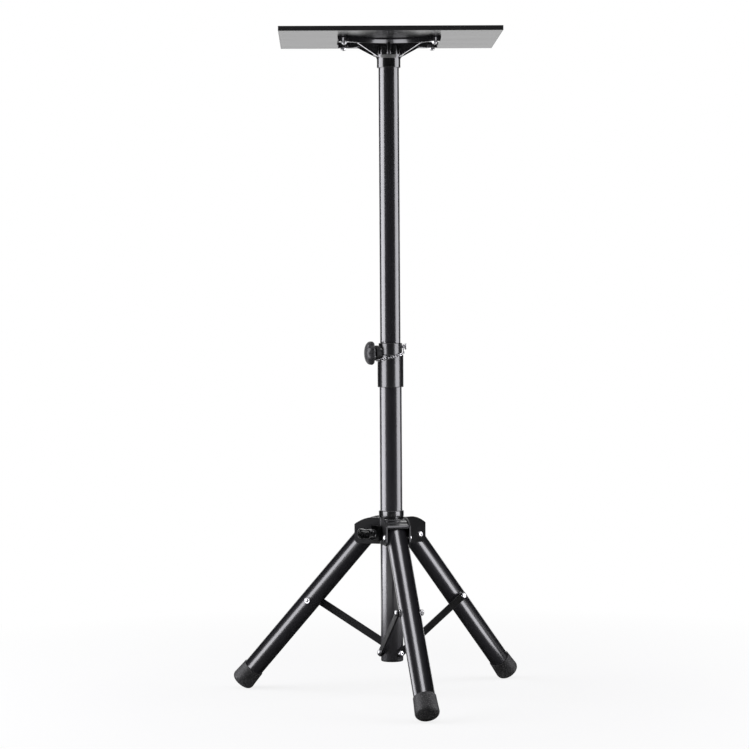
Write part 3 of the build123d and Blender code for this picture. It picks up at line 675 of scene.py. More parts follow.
class StandSizes(bpy.types.PropertyGroup):
    """Sizes that the frame does not give by itself."""

    hole_pitch: length_property("Hole pitch", "Distance between the mast's height holes", 0.104)
    hole: length_property("Height hole", "Diameter of the mast's height holes", 0.0065)
    pivot_bore: length_property("Pivot bore", "Diameter of the leg's hole for its pivot bolt", 0.0086)
    strut_bore: length_property("Strut bore", "Diameter of the leg's hole for its strut bolt", 0.0061)
    cap_mouth: length_property("Cap mouth", "Wall of a foot cap at its mouth", 0.00145)
    cap_rounding: length_property("Cap rounding", "Rounding of a foot cap's end", 0.008)
    tray_bend: length_property("Tray bend", "Rounding of an edge strip's outer bottom edge", 0.0012)
    arm_pad: length_property("Arm pad", "Radius of the bracket's four pads", 0.011)
    waist_x: length_property("Waist, long way", "Half width of the bracket between its arms", 0.044)
    waist_y: length_property("Waist, short way", "Half depth of the bracket between its arms", 0.027)
    bracket_rim: length_property("Bracket rim", "Height of the bracket's rim", 0.009)
    bracket_wall: length_property("Bracket wall", "Thickness of the bracket's rim and plate", 0.003)
    bracket_draft: length_property("Bracket draft", "How far the rim leans in at its bottom", 0.0017)
    bracket_bend: length_property("Bracket rounding", "Rounding of the rim's outer face", 0.0022)
    gusset: length_property("Gusset", "Thickness of the bracket's four gussets", 0.004)
    gusset_reach: length_property("Gusset reach", "Distance of a gusset's tip from the mast's axis", 0.064)
    gusset_drop: length_property("Gusset drop", "How far a gusset goes down below the rim", 0.022)
    socket_ring: length_property("Socket ring", "Height of the plain ring at the socket's mouth", 0.015)
    socket_shoulder: length_property("Socket shoulder", "Height of the socket's flared shoulder", 0.006)
    socket_wall: length_property("Socket wall", "Wall of the socket's ring", 0.0024)
    socket_flare: length_property("Socket flare", "How much wider the socket is above its shoulder", 0.0038)
    flute: length_property("Flute", "Height of the ribs on the socket", 0.0022)
    flutes: IntProperty(name="Flutes", description="Ribs round the socket", default=8, min=2)
    plate: length_property("Hub plate", "Thickness of the hub's pressed plates", 0.0025)
    plate_bend: length_property("Plate bend", "Length of the bend on each side of a plate's valley", 0.0035)
    ear_arch: length_property("Ear arch", "Length of the arched part of an ear's top", 0.0305)
    ear_drop: length_property("Ear drop", "How far an ear's arch comes down", 0.012)
    ear_bottom: length_property("Ear bottom", "Radius of an ear's lower corner", 0.008)
    hub_ring: length_property("Hub ring", "Height of the ring at the hub's top", 0.009)
    web_swing: length_property("Web arch", "Radius of a web's arch round the end of its leg", 0.01965)
    knob_neck: length_property("Hub knob's neck", "Length of the neck behind the hub knob's grip", 0.0087)
    link_length: length_property("Link length", "Outer length of a chain link", 0.007)
    link_width: length_property("Link width", "Outer width of a chain link", 0.0046)
    link_wire: length_property("Link wire", "Wire of the chain links", 0.0011)
    knob_lobes: IntProperty(name="Knob lobes", description="Lobes round the collar's knob", default=8, min=3)


class StandColours(bpy.types.PropertyGroup):
    """Colours of the finishes."""

    paint: colour_property("Paint", "Gloss paint of the mast and column", (0.019, 0.0185, 0.021))
    leg_paint: colour_property("Leg paint", "Gloss paint of the legs", (0.0072, 0.007, 0.0082))
    sheet: colour_property("Sheet", "Powder coat of the tray", (0.024, 0.024, 0.0245))
    plastic: colour_property("Plastic", "Moulded plastic", (0.01, 0.01, 0.0105))
    # Lighter than the other plastic: partly the knob's own dull grey, partly painted sheen standing in for
    # reflected light
    knob: colour_property("Knob", "Plastic of the collar's knob, greyed by handling", (0.022, 0.022, 0.023))
    steel: colour_property("Steel", "Matte paint of hub plates and struts", (0.012, 0.012, 0.0125))
    rubber: colour_property("Rubber", "Rubber of the foot caps", (0.014, 0.014, 0.014))
    dust: colour_property("Dust", "Dust and light specks of the foot caps", (0.13, 0.128, 0.125))
    plating: colour_property("Plating", "Bright plating of the fasteners", (0.82, 0.82, 0.83))


class StandStudio(bpy.types.PropertyGroup):
    """Studio and camera of the photo."""

    left: plain_property("Left softbox", "Brightness of the softbox on the left", 4.6)
    right: plain_property("Right softbox", "Brightness of the softbox on the right", 3.4)
    top: plain_property("Top softbox", "Brightness of the softbox above", 1.6)
    lens: FloatProperty(name="Lens", description="Focal length", default=113.05, min=1.0, unit="CAMERA")
    distance: length_property("Camera distance", "Distance of the camera from the mast", 4.004)
    height: length_property("Camera height", "Height of the camera over the floor", 0.661)
    swing: angle_property("Camera swing", "Turn of the camera's place round the mast", -1.66)
    pitch: angle_property("Pitch", "Downward tilt of the camera", 1.61)
    yaw: angle_property("Yaw", "Sideways turn of the camera", -0.39)
    roll: angle_property("Roll", "Turn of the camera about its own view", -0.36)


# Operators

class STAND_OT_tubes(bpy.types.Operator):
    """Make the column tube and its plug, the mast tube and the three leg tubes"""

    bl_idname = "stand.tubes"
    bl_label = "Tubes"

    def execute(self, context):
        sizes = context.scene.stand_sizes
        column = span("lower_tube", MAST)
        wall = (
            (column.far, column.low), (column.far, column.high), (column.near, column.high),
            (column.near, column.low),
        )
        shell = turned(rounded(wall, FINE_EDGE, closed=True), MAST, closed=True)
        piece("column_tube", shell, "column", "gloss_black", "lower_tube", look="gloss_column")

        plug = span("column_plug", MAST)
        recess = plug.low + 0.0015
        inner = column.near - 0.0001
        cup = (
            (0.0, recess), (0.6 * plug.far, recess), (0.66 * plug.far, plug.low), (plug.far, plug.low),
            (plug.far, column.low), (inner, column.low), (inner, plug.high), (0.0, plug.high),
        )
        rounding = (0.0006, 0.0006, 0.0025, 0.0003, 0.0, 0.0008)
        cup = turned(rounded(cup, rounding), MAST)
        piece("column_end_plug", cup, "column", "black_plastic", "column_plug")

        mast = span("upper_tube", MAST)
        low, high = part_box("lock_pin")
        places = np.arange((low.z + high.z) / 2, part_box("tray_bracket")[0].z, sizes.hole_pitch)
        holes = [(turn, place, sizes.hole / 2) for place in places for turn in (0.0, pi)]
        piece("mast_tube", pierced(mast, holes, MAST), "mast", "gloss_black", "upper_tube",
              wall=mast.far - mast.near, bevel=TUBE_BEVEL)

        for name in LEGS:
            leg = leg_line(name)
            tube = span(name + "_leg_tube", leg)
            eye = np.linalg.norm(joint_line(name + "_strut_pivot").origin - leg.origin)
            bores = ((0.0, sizes.pivot_bore / 2), (eye, sizes.strut_bore / 2))
            holes = [(turn, place, radius) for place, radius in bores for turn in (0.0, pi)]
            shell = pierced(tube, holes, leg)
            piece(name + "_tube", shell, name + "_leg", "gloss_black", name + "_leg_tube", look="gloss_legs",
                  wall=tube.far - tube.near, bevel=TUBE_BEVEL)
        return {"FINISHED"}


class STAND_OT_foot_caps(bpy.types.Operator):
    """Make the rubber caps on the feet of the legs"""

    bl_idname = "stand.foot_caps"
    bl_label = "Foot caps"

    def execute(self, context):
        sizes = context.scene.stand_sizes
        for name in LEGS:
            leg = leg_line(name)
            tube, cap = span(name + "_leg_tube", leg), span(name + "_foot_cap", leg)
            bore, mouth, bend = tube.far, tube.far + sizes.cap_mouth, sizes.cap_rounding
            inside = rounded(
                ((0.0, tube.high), (bore, tube.high), (bore, cap.low), (mouth, cap.low),
                 (mouth + 0.0001, cap.low + 0.004)), (0.0, FINE_EDGE, 0.0006))
            centre = np.array((cap.far - HAIR - bend, cap.high - bend))
            end = centre + bend * on_circle(np.linspace(0, pi / 2, 15))
            groove_out, groove_in, groove_floor = 0.0118, 0.01, cap.high - 0.0007
            pad = rounded(
                ((centre[0], cap.high), (groove_out, cap.high), (groove_out - FINE_EDGE, groove_floor),
                 (groove_in + FINE_EDGE, groove_floor), (groove_in, cap.high), (0.0, cap.high)), FINE_EDGE)
            shell = turned(np.concatenate([inside, end, pad[1:]]), leg)
            piece(name + "_rubber_cap", shell, name + "_leg", "black_rubber", name + "_foot_cap")
        return {"FINISHED"}


class STAND_OT_collar(bpy.types.Operator):
    """Make the height collar: a stepped ring, and a boss whose root follows the ring's neck"""

    bl_idname = "stand.collar"
    bl_label = "Height collar"

    def execute(self, context):
        column, mast = span("lower_tube", MAST), span("upper_tube", MAST)
        low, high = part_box("height_collar")
        body = high.x
        press_fit, neck_wall, neck_height = 0.00005, 0.0027, 0.02
        guide, seat, neck = mast.far + SLIDE, column.far + press_fit, mast.far + neck_wall
        step = high.z - neck_height
        ring = (
            (body, low.z), (body, step), (neck, step), (neck, high.z),
            (guide, high.z), (guide, column.high), (seat, column.high), (seat, low.z),
        )
        rounding = (0.0009, 0.0012, 0.0012, 0.0009, 0.0004, 0.0, 0.0, 0.0004)
        shell = turned(rounded(ring, rounding, closed=True), MAST, closed=True)

        hinge = joint_line("collar_knob_turn")
        reach = np.linalg.norm(hinge.origin[:2])
        spoke = line((0.0, 0.0, hinge.origin[2]), hinge.axis)
        radius, root, sunk = 0.013, 0.019, 0.0006
        bore, floor = span("collar_stud", hinge).far + SLIDE, reach - 0.004
        lip = rounded(
            ((0.0, root), (radius, 0.0), (radius, reach), (bore, reach), (bore, floor), (0.0, floor)),
            (0.0, 0.001, 0.0004, 0.0))
        # Distance from the mast at which the boss meets the neck, less what it sinks into it
        segments = 96
        saddle = np.sqrt(neck ** 2 - (radius * np.sin(full_turn(segments))) ** 2) - sunk
        at_root = (lip[:, 1] == 0.0)[:, None]
        boss = turned(lip, spoke, segments, lift=at_root * saddle)
        piece("collar", joined(shell, boss), "column", "black_plastic", "height_collar", look="collar")
        return {"FINISHED"}


class STAND_OT_collar_knob(bpy.types.Operator):
    """Make the collar's lobed knob, a dome whose rim is drawn in between the lobes, and its stud"""

    bl_idname = "stand.collar_knob"
    bl_label = "Collar knob"

    def execute(self, context):
        sizes = context.scene.stand_sizes
        hinge = joint_line("collar_knob_turn")
        knob, stud = span("collar_knob", hinge), span("collar_stud", hinge)
        rim, neck, segments = 0.0065, 0.0065, 192
        turn = np.linspace(0, pi / 2, 22)
        dome = np.stack([knob.far * np.cos(turn) ** 0.75, rim + (knob.high - rim) * np.sin(turn)], axis=1)
        dome[-1, 0] = 0.0
        back = rounded(
            ((0.0, knob.low), (neck, knob.low), (neck, 0.0036), (knob.far - 0.0022, 0.0033),
             (knob.far, rim)), (0.0003, 0.001, 0.0012))
        profile = np.concatenate([back[:-1], dome])
        # Between two lobes the rim is drawn in by 12 percent, and less and less towards the axis
        scallop = (0.5 + 0.5 * np.cos(sizes.knob_lobes * full_turn(segments))) ** 1.6
        depth = 0.12 * np.clip((profile[:, 0] / knob.far - 0.5) / 0.4, 0, 1) ** 1.5
        grip = turned(profile, hinge, segments, wave=1 - depth[:, None] * scallop)
        # Lighter plastic: partly the knob's own dull grey, partly painted sheen
        piece("collar_grip", grip, "collar_knob", "black_plastic", "collar_knob", look="grey_and_sheen_knob")
        bar = threaded(stud.low, 0.004, stud.far, hinge)
        piece("collar_stud_bar", bar, "collar_knob", "chrome", "collar_stud")
        return {"FINISHED"}


class STAND_OT_lock_pin(bpy.types.Operator):
    """Make the lock pin, its rings and the link chain"""

    bl_idname = "stand.lock_pin"
    bl_label = "Lock pin and chain"

    def execute(self, context):
        sizes = context.scene.stand_sizes
        low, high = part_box("lock_pin")
        spoke = line((0.0, 0.0, (low.z + high.z) / 2), EAST)
        pin = span("lock_pin", spoke)
        bar, head, dish = 0.003, pin.high - 0.003, pin.high - 0.0004
        shaft = rounded(
            ((0.0, pin.low), (bar, pin.low), (bar, head), (pin.far, head), (pin.far, pin.high - 0.0002),
             (0.0035, pin.high), (0.003, dish), (0.0, dish)),
            (0.0006, 0.0004, 0.0003, 0.0008, 0.0002, 0.0002))
        segments, ridges, depth = 180, 30, 0.02
        knurl = 1 - depth * (0.5 + 0.5 * np.cos(ridges * full_turn(segments)))
        rim = np.where(shaft[:, :1] > 0.9 * pin.far, knurl, 1.0)
        piece("lock_pin_bar", turned(shaft, spoke, segments, wave=rim), "column", "chrome", "lock_pin")

        knob_axis = joint_line("collar_knob_turn").axis
        wires = (
            ("pin_wire_ring", "pin_ring", self.wire_ring("pin_ring", EAST)),
            ("chain_wire_ring", "chain_ring", self.wire_ring("chain_ring", knob_axis)),
            ("link_chain", "pin_chain", self.links(sizes, knob_axis)),
        )
        for name, node, patch in wires:
            piece(name, patch, "column", "chrome", node, look="bright_wire")
        return {"FINISHED"}

    @staticmethod
    def wire_ring(node, axis):
        """Ring of round wire: a circle carried round the node's own middle."""
        low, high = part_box(node)
        around = line(np.array((low + high) / 2), axis)
        reach = span(node, around)
        wire = (reach.high - reach.low) / 2
        circle = (reach.far - wire, 0.0) + wire * on_circle(full_turn(16))
        return turned(circle, around, closed=True)

    @staticmethod
    def links(sizes, knob_axis):
        """Chain of links, each a round wire carried round a bar outline, every second one turned on its
        side. The line of the chain keeps its distance from the collar but for its first fifth, and its
        height goes evenly with the share s from one ring to the other, less the sag times s * (1 - s)."""
        chain_low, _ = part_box("pin_chain")
        knob_low, knob_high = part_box("chain_ring")
        pin_low, pin_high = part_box("pin_ring")
        wire, width, length = sizes.link_wire / 2, sizes.link_width, sizes.link_length
        ring_wire, play, sag = 0.0014, 0.0007, 0.0032
        around = -chain_low.y - width / 2
        start = np.arctan2(knob_axis[1], knob_axis[0]) % (2 * pi) + radians(20)
        end = 2 * pi - radians(21)
        start_height = knob_low.z + ring_wire / 2
        pin_ring = pin_high.z - pin_low.z - ring_wire
        end_height = (pin_low.z + pin_high.z) / 2 - pin_ring / 3
        knob_reach = np.linalg.norm(np.array((knob_low + knob_high) / 2)[:2])
        count = round(around * (end - start) / (length - 2 * sizes.link_wire - play))

        def point(share):
            turn = start + share * (end - start)
            reach = around + (knob_reach - around) * np.maximum(0.0, 1 - 5 * share) ** 2
            height = start_height + (end_height - start_height) * share - sag * share * (1 - share)
            return np.stack([reach * np.cos(turn), reach * np.sin(turn), height], axis=1)

        step = np.arange(count)
        middle = point((step + 0.5) / count)
        along = point((step + 1) / count) - point(step / count)
        along /= np.linalg.norm(along, axis=1, keepdims=True)
        flat = np.cross(along, middle * FLAT)
        flat /= np.linalg.norm(flat, axis=1, keepdims=True)
        normal = np.where(step[:, None] % 2 == 1, flat, np.cross(flat, along))
        across = np.cross(normal, along)

        ring = bar_ring(length - width, width / 2 - wire, 13) - ((length - width) / 2, 0.0)
        ahead = np.roll(ring, -1, axis=0) - np.roll(ring, 1, axis=0)
        side = np.stack([ahead[:, 1], -ahead[:, 0]], axis=1)
        side /= np.linalg.norm(side, axis=1, keepdims=True)
        turn = full_turn(12)
        plane = ring[:, None] + wire * np.cos(turn)[None, :, None] * side[:, None]
        rise = np.broadcast_to(wire * np.sin(turn), plane.shape[:2])
        middle, along, across, normal = (each[:, None, None] for each in (middle, along, across, normal))
        points = middle + plane[..., :1] * along + plane[..., 1:] * across + rise[..., None] * normal
        faces = quads(len(ring), len(turn), wrap_rows=True)[:, ::-1]
        faces = faces + (step * plane.shape[0] * plane.shape[1])[:, None, None]
        return points.reshape(-1, 3), faces.reshape(-1, 4)


class STAND_OT_tray(bpy.types.Operator):
    """Make the tray's sheet, its edge strips and its screws"""

    bl_idname = "stand.tray"
    bl_label = "Tray"

    def execute(self, context):
        sizes = context.scene.stand_sizes
        low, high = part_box("tray")
        outline = ((high.x, high.y), (low.x, high.y), (low.x, low.y), (high.x, low.y))
        sheet = line((0.0, 0.0, low.z), UP, EAST)
        plate = slab(outline, high.z - low.z, sheet, edge=0.0002, corner=0.0005)
        piece("tray_sheet", plate, "tray_head", "satin_black_sheet", "tray")
        for name in ("front", "rear", "left", "right"):
            node = name + "_tray_edge"
            piece(name + "_edge_strip", self.strip(sizes, node), "tray_head", "satin_black_sheet", node)

        points = points_of("tray_screws")
        reach = np.abs(points[:, :2])
        seat = (reach.min(axis=0) + reach.max(axis=0)) / 2
        floor, nut = points[:, 2].max(), points[:, 2].min()
        # From the domed nut up the shank to the countersunk head with its six-sided socket
        rows = (
            (0.0, nut, 0), (0.0016, nut + 0.0001, 0), (0.0032, nut + 0.0007, 0), (0.0042, nut + 0.002, 0),
            (0.00425, nut + 0.0022, 0), (0.0045, nut + 0.0024, 1), (0.0048, nut + 0.0028, 1),
            (0.0048, nut + 0.0044, 1), (0.0045, nut + 0.0045, 1), (0.0024, nut + 0.0045, 0),
            (0.0024, floor - 0.0024, 0), (0.0045, floor - 0.0002, 0), (0.00445, floor, 0),
            (0.0036, floor, 0), (0.0025, floor, 0), (0.0024, floor, 1), (0.0018, floor - 0.0011, 1),
            (0.0, floor - 0.0012, 1),
        )
        places = [(x, y, 0.0) for x, y in seat * CORNERS]
        # Each screw stopped at a turn of its own
        turns = [(cos(90 * x), sin(90 * x + 50 * y), 0.0) for x, y, _ in places]
        screws = [six_sided(rows, line(place, UP, turn)) for place, turn in zip(places, turns)]
        piece("tray_screw_set", joined(*screws), "tray_head", "chrome", "tray_screws")
        return {"FINISHED"}

    @staticmethod
    def strip(sizes, node):
        """Edge strip: its section, a bar on edge with a bent outer foot, is carried along the tray's side
        and drawn in a little at both ends."""
        low, high = (np.array(corner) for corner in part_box(node))
        middle, half = (low + high) / 2, (high - low) / 2
        across = np.argmin(half[:2])
        outward = np.sign(middle[across]) * np.eye(3)[across]
        along = np.cross(outward, UP)
        start = line(middle - along * half[1 - across], along, outward)
        thick, tall = half[across], half[2]
        section = np.array(((thick, -tall), (thick, tall), (-thick, tall), (-thick, -tall)))
        foot = (sizes.tray_bend, 0.0004, 0.0004, 0.0002)
        insets = (FINE_EDGE, 0.0, 0.0, FINE_EDGE)
        rings = [rounded(drawn_in(section, inset), foot, closed=True) for inset in insets]
        length = 2 * half[1 - across]
        return layered(rings, (0.0, FINE_EDGE, length - FINE_EDGE, length), start)


class STAND_OT_bracket(bpy.types.Operator):
    """Make the moulded four-arm bracket with its rim, pads, gussets and fluted socket"""

    bl_idname = "stand.bracket"
    bl_label = "Tray bracket"

    def execute(self, context):
        sizes = context.scene.stand_sizes
        low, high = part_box("tray_bracket")
        mast = span("upper_tube", MAST)
        pad, wall = sizes.arm_pad, sizes.bracket_wall
        arm_x, arm_y = high.x - pad, high.y - pad
        seat, plate = high.z - sizes.bracket_rim, high.z - wall
        slant = pad * (1 - sin(pi / 4))
        half = np.concatenate([
            arc((-arm_x, low.y), (0, -sizes.waist_y), (arm_x, low.y), 49),
            arc((arm_x, low.y), (high.x - slant, low.y + slant), (high.x, -arm_y), 17),
            arc((high.x, -arm_y), (sizes.waist_x, 0), (high.x, arm_y), 33),
            arc((high.x, arm_y), (high.x - slant, high.y - slant), (arm_x, high.y), 17),
        ])
        outline = np.concatenate([half, -half])
        rows = rounded(
            ((wall + 0.003, plate), (wall, plate), (wall, seat), (sizes.bracket_draft, seat), (0.0, plate),
             (0.0, high.z), (0.002, high.z)),
            (0.0015, 0.0004, 0.0009, sizes.bracket_bend, 0.0004))
        patches = [layered([drawn_in(outline, inset) for inset in rows[:, 0]], rows[:, 1], MAST)]

        boss, sunk, tip = pad - 0.002, plate + 0.001, seat - sizes.gusset_drop
        disc = rounded(((0.0, seat), (boss, seat), (boss, sunk)), 0.0006)
        rib = (
            (mast.far, sunk), (mast.far, tip), (mast.far + 0.0027, tip), (sizes.gusset_reach, seat),
            (sizes.gusset_reach, sunk),
        )
        for x, y in CORNERS * (arm_x, arm_y):
            patches.append(turned(disc, line((x, y, 0.0), UP, EAST), 48))
            out = unit((x, y, 0.0))
            across = np.cross(out, UP)
            sheet = line(-across * sizes.gusset / 2, across, out)
            patches.append(slab(rib, sizes.gusset, sheet, edge=0.0008, corner=0.0008))
        piece("four_arm_bracket", joined(*patches), "tray_head", "black_plastic", "tray_bracket",
              look="gloss_bracket")
        socket = self.socket(sizes, low.z, high.z, mast)
        piece("fluted_socket", socket, "tray_head", "black_plastic", "tray_bracket", look="gloss_bracket")
        return {"FINISHED"}

    @staticmethod
    def socket(sizes, bottom, top, mast):
        """Socket turned round the mast. Above its shoulder its distance is raised at each rib by the rib's
        height times a flat-topped wave of the angle."""
        guide = mast.far + SLIDE
        ring = guide + sizes.socket_wall
        body = ring + sizes.socket_flare
        shoulder = bottom + sizes.socket_ring
        flutes_from = shoulder + sizes.socket_shoulder
        ceiling, lid = mast.high + SLIDE, top - 0.0015
        profile = rounded(
            ((0.0, ceiling), (guide, ceiling), (guide, bottom), (ring, bottom), (ring, shoulder),
             (body, flutes_from), (body, flutes_from + 0.001), (body, lid), (0.0, lid)),
            (0.0003, 0.0005, 0.0009, 0.0012, 0.0008, 0.0002, 0.0001))
        segments = 240
        rib = np.clip(1.6 * np.cos(sizes.flutes * full_turn(segments)) - 0.5, 0, 1)
        ribbed = (profile[:, 1] > flutes_from + 0.0005) & (profile[:, 0] > ring)
        return turned(profile, MAST, segments, wave=1 + ribbed[:, None] * rib * sizes.flute / body)


class STAND_OT_hub(bpy.types.Operator):
    """Make the hub's sleeve with its ring and webs, its bent plates and its pivot bolts"""

    bl_idname = "stand.hub"
    bl_label = "Hub"

    def execute(self, context):
        sizes = context.scene.stand_sizes
        piece("hub_body", self.sleeve(sizes), "hub", "black_plastic", "hub_sleeve", look="gloss_hub")
        for name in LEGS:
            piece(name + "_bent_plate", self.bent_plate(sizes, name), "hub", "matte_black_steel",
                  name + "_hub_plate", wall=sizes.plate, bevel=0.0008)
            pivot = joint_line(name + "_leg_pivot")
            bolt = span(name + "_pivot_bolt", pivot)
            shank, head = 0.004, 0.003
            plate = bolt.high - head
            seat = -plate
            dome = (
                (0.0, seat - 0.001, 1), (0.0026, seat - 0.0012, 1), (0.0027, seat - head, 1),
                (0.0029, seat - head, 0), (0.0038, seat - 0.0027, 0), (0.0048, seat - 0.0021, 0),
                (bolt.far, seat - 0.0011, 0), (bolt.far, seat, 0), (0.0, seat, 0),
            )
            nut = (
                (0.0, plate, 0), (bolt.far - 0.0003, plate, 1), (bolt.far, plate + 0.0002, 1),
                (bolt.far, plate + 0.0016, 1), (0.00475, plate + 0.0021, 0), (0.0044, plate + 0.0026, 0),
                (0.0032, plate + head, 0), (0.0, plate + head, 0),
            )
            fastener = joined(six_sided(dome, pivot), rod(shank, seat, plate, pivot), six_sided(nut, pivot))
            piece(name + "_pivot_fastener", fastener, "hub", "chrome", name + "_pivot_bolt")
        return {"FINISHED"}

    @staticmethod
    def sleeve(sizes):
        """Sleeve and ring turned round the column, and over each leg a web: a slab whose outline, seen from
        the side, is an arc round the leg's end below and a row of steps above."""
        low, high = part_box("hub_sleeve")
        hub = span("hub_sleeve", MAST)
        sleeve, ring = hub.near + 0.0017, hub.near + 0.0022
        step, root = high.z - sizes.hub_ring, sleeve - 0.0005
        profile = (
            (hub.near, low.z), (sleeve, low.z), (sleeve, step), (ring, step), (ring, high.z),
            (hub.near, high.z),
        )
        rounding = (0.0003, 0.0006, 0.0002, 0.0009, 0.0012, 0.0004)
        patches = [turned(rounded(profile, rounding, closed=True), MAST, closed=True)]
        for name in LEGS:
            pivot = joint_line(name + "_leg_pivot")
            reach = np.linalg.norm(pivot.origin[:2])
            out = pivot.origin * FLAT / reach
            front = (points_of("hub_sleeve") @ out).max()
            half = np.abs(points_of(name + "_hub_plate") @ pivot.axis).min() - 0.0001
            turn = np.linspace(pi / 2, np.arccos((front - reach) / sizes.web_swing), 9)
            arch = (reach, 0.0) + sizes.web_swing * on_circle(turn)
            web = np.concatenate([
                [(root, sizes.web_swing)], arch, [(front, WEB_NOSE)], WEB_STEPS, [(root, WEB_STEPS[-1][1])],
            ])
            place = line(pivot.axis * half + pivot.origin * UP, -pivot.axis, out)
            patches.append(slab(web, 2 * half, place, edge=0.0005, corner=0.0007))
        return joined(*patches)

    @staticmethod
    def bent_plate(sizes, name):
        """Plate bent into a valley: a path seen from above, in along one ear's inner face, round the bend
        and out along the next ear, carried up from the plate's lower to its upper rim. Towards its two ends
        the top comes down along an arch, drop * (0.8 s^2 + 0.2 s) with s from 0 at the arch's start to 1 at
        the end, and the bottom follows a quarter circle, r - sqrt(r^2 - (r - d)^2) at a distance d from the
        end."""
        points = points_of(name + "_hub_plate")
        pivot = joint_line(name + "_leg_pivot")
        out = unit(pivot.origin * FLAT)
        inside, edge = -(points @ pivot.axis).max(), (points @ out).max()
        to_next_leg = spun(radians(-120))
        next_out, next_axis = to_next_leg @ out, to_next_leg @ pivot.axis
        valley = unit(out + next_out) * inside / sin(pi / 3)
        corners = (out * edge - pivot.axis * inside, valley, next_out * edge + next_axis * inside)
        path = rounded(corners, sizes.plate_bend, steps=13)
        length = np.concatenate([[0], np.cumsum(np.linalg.norm(np.diff(path, axis=0), axis=1))])
        near_top = np.linspace(0, sizes.ear_arch, 25)
        near_bottom = sizes.ear_bottom * (1 - np.cos(np.linspace(0, pi / 2, 16)))
        near = np.concatenate([near_top, near_bottom])
        travel = np.unique(np.round(np.concatenate([length, near, length[-1] - near]), 7))
        from_end = np.minimum(travel, length[-1] - travel)
        share = np.clip(1 - from_end / sizes.ear_arch, 0, 1)
        inner = np.clip(sizes.ear_bottom - from_end, 0, sizes.ear_bottom)
        top = points[:, 2].max() - sizes.ear_drop * (0.8 * share ** 2 + 0.2 * share)
        bottom = points[:, 2].min() + sizes.ear_bottom - np.sqrt(sizes.ear_bottom ** 2 - inner ** 2)
        rise = np.linspace(0, 1, 9)[:, None]
        height = bottom + (top - bottom) * rise
        plan = np.stack([np.interp(travel, length, path[:, axis]) for axis in range(3)], axis=1)
        grid = plan * FLAT + height[..., None] * UP
        return grid.reshape(-1, 3), quads(len(rise), len(travel), wrap_columns=False)


class STAND_OT_hub_knob(bpy.types.Operator):
    """Make the hub's oblong knob with its boss and stud"""

    bl_idname = "stand.hub_knob"
    bl_label = "Hub knob"

    def execute(self, context):
        sizes = context.scene.stand_sizes
        hinge = joint_line("hub_knob_turn", np.cross(UP, joint("hub_knob_turn")["axis"]))
        boss, knob, stud = (span(node, hinge) for node in ("hub_knob_boss", "hub_knob", "hub_stud"))
        low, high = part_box("hub_knob_boss")
        half_wide = np.abs((points_of("hub_knob_boss") - hinge.origin) @ hinge.side).max()
        # The nose ends just before the valley, which opens by 120 degrees, is as wide as the boss
        nose = boss.low + half_wide / np.sqrt(3) - 0.0015
        place = (boss.low, nose, nose + 0.001, boss.high - 0.0009, boss.high - 0.0003, boss.high)
        inset = np.array((0.0, 0.0003, 0.0, 0.0, 0.0003, 0.0009))
        wide, tall = half_wide - inset, (high.z - low.z) / 2 - inset
        wide[0] = 0.0026
        tall[0] -= 0.001
        rings = [box_ring(x, y, corner=min(0.004, 0.9 * x)) for x, y in zip(wide, tall)]
        piece("hub_knob_seat", layered(rings, place, hinge), "hub", "black_plastic", "hub_knob_boss")

        points = points_of("hub_knob") - hinge.origin
        half_long, half_high = np.abs(points @ hinge.side).max(), np.abs(points @ hinge.third).max()
        # Outline of the grip: a superellipse, drawn in by 16 percent at its waist
        circle = on_circle(full_turn(128))
        across, up = (np.sign(circle) * np.abs(circle) ** 0.6).T
        waist = 1 - 0.16 * np.cos(np.clip(across, -0.8, 0.8) * pi / 1.6) ** 2
        ring = np.stack([half_long * across, half_high * up * waist], axis=1)
        back = knob.low + sizes.knob_neck
        scale, deep = np.array(GRIP_ROWS).T
        grip = layered(ring[None] * scale[:, None, None], back + (knob.high - back) * deep, hinge)
        radius, sunk = 0.007, 0.002
        neck = rounded(
            ((0.0, knob.low), (radius, knob.low), (radius, back), (radius + sunk, back + sunk),
             (0.0, back + sunk)), (0.0005, 0.001, 0.0))
        handle = joined(grip, turned(neck, hinge, 64))
        piece("hub_grip", handle, "hub_knob", "black_plastic", "hub_knob", look="gloss_hub")
        bar = threaded(stud.low, knob.low + sunk, stud.far, hinge)
        piece("hub_stud_bar", bar, "hub_knob", "chrome", "hub_stud")
        return {"FINISHED"}


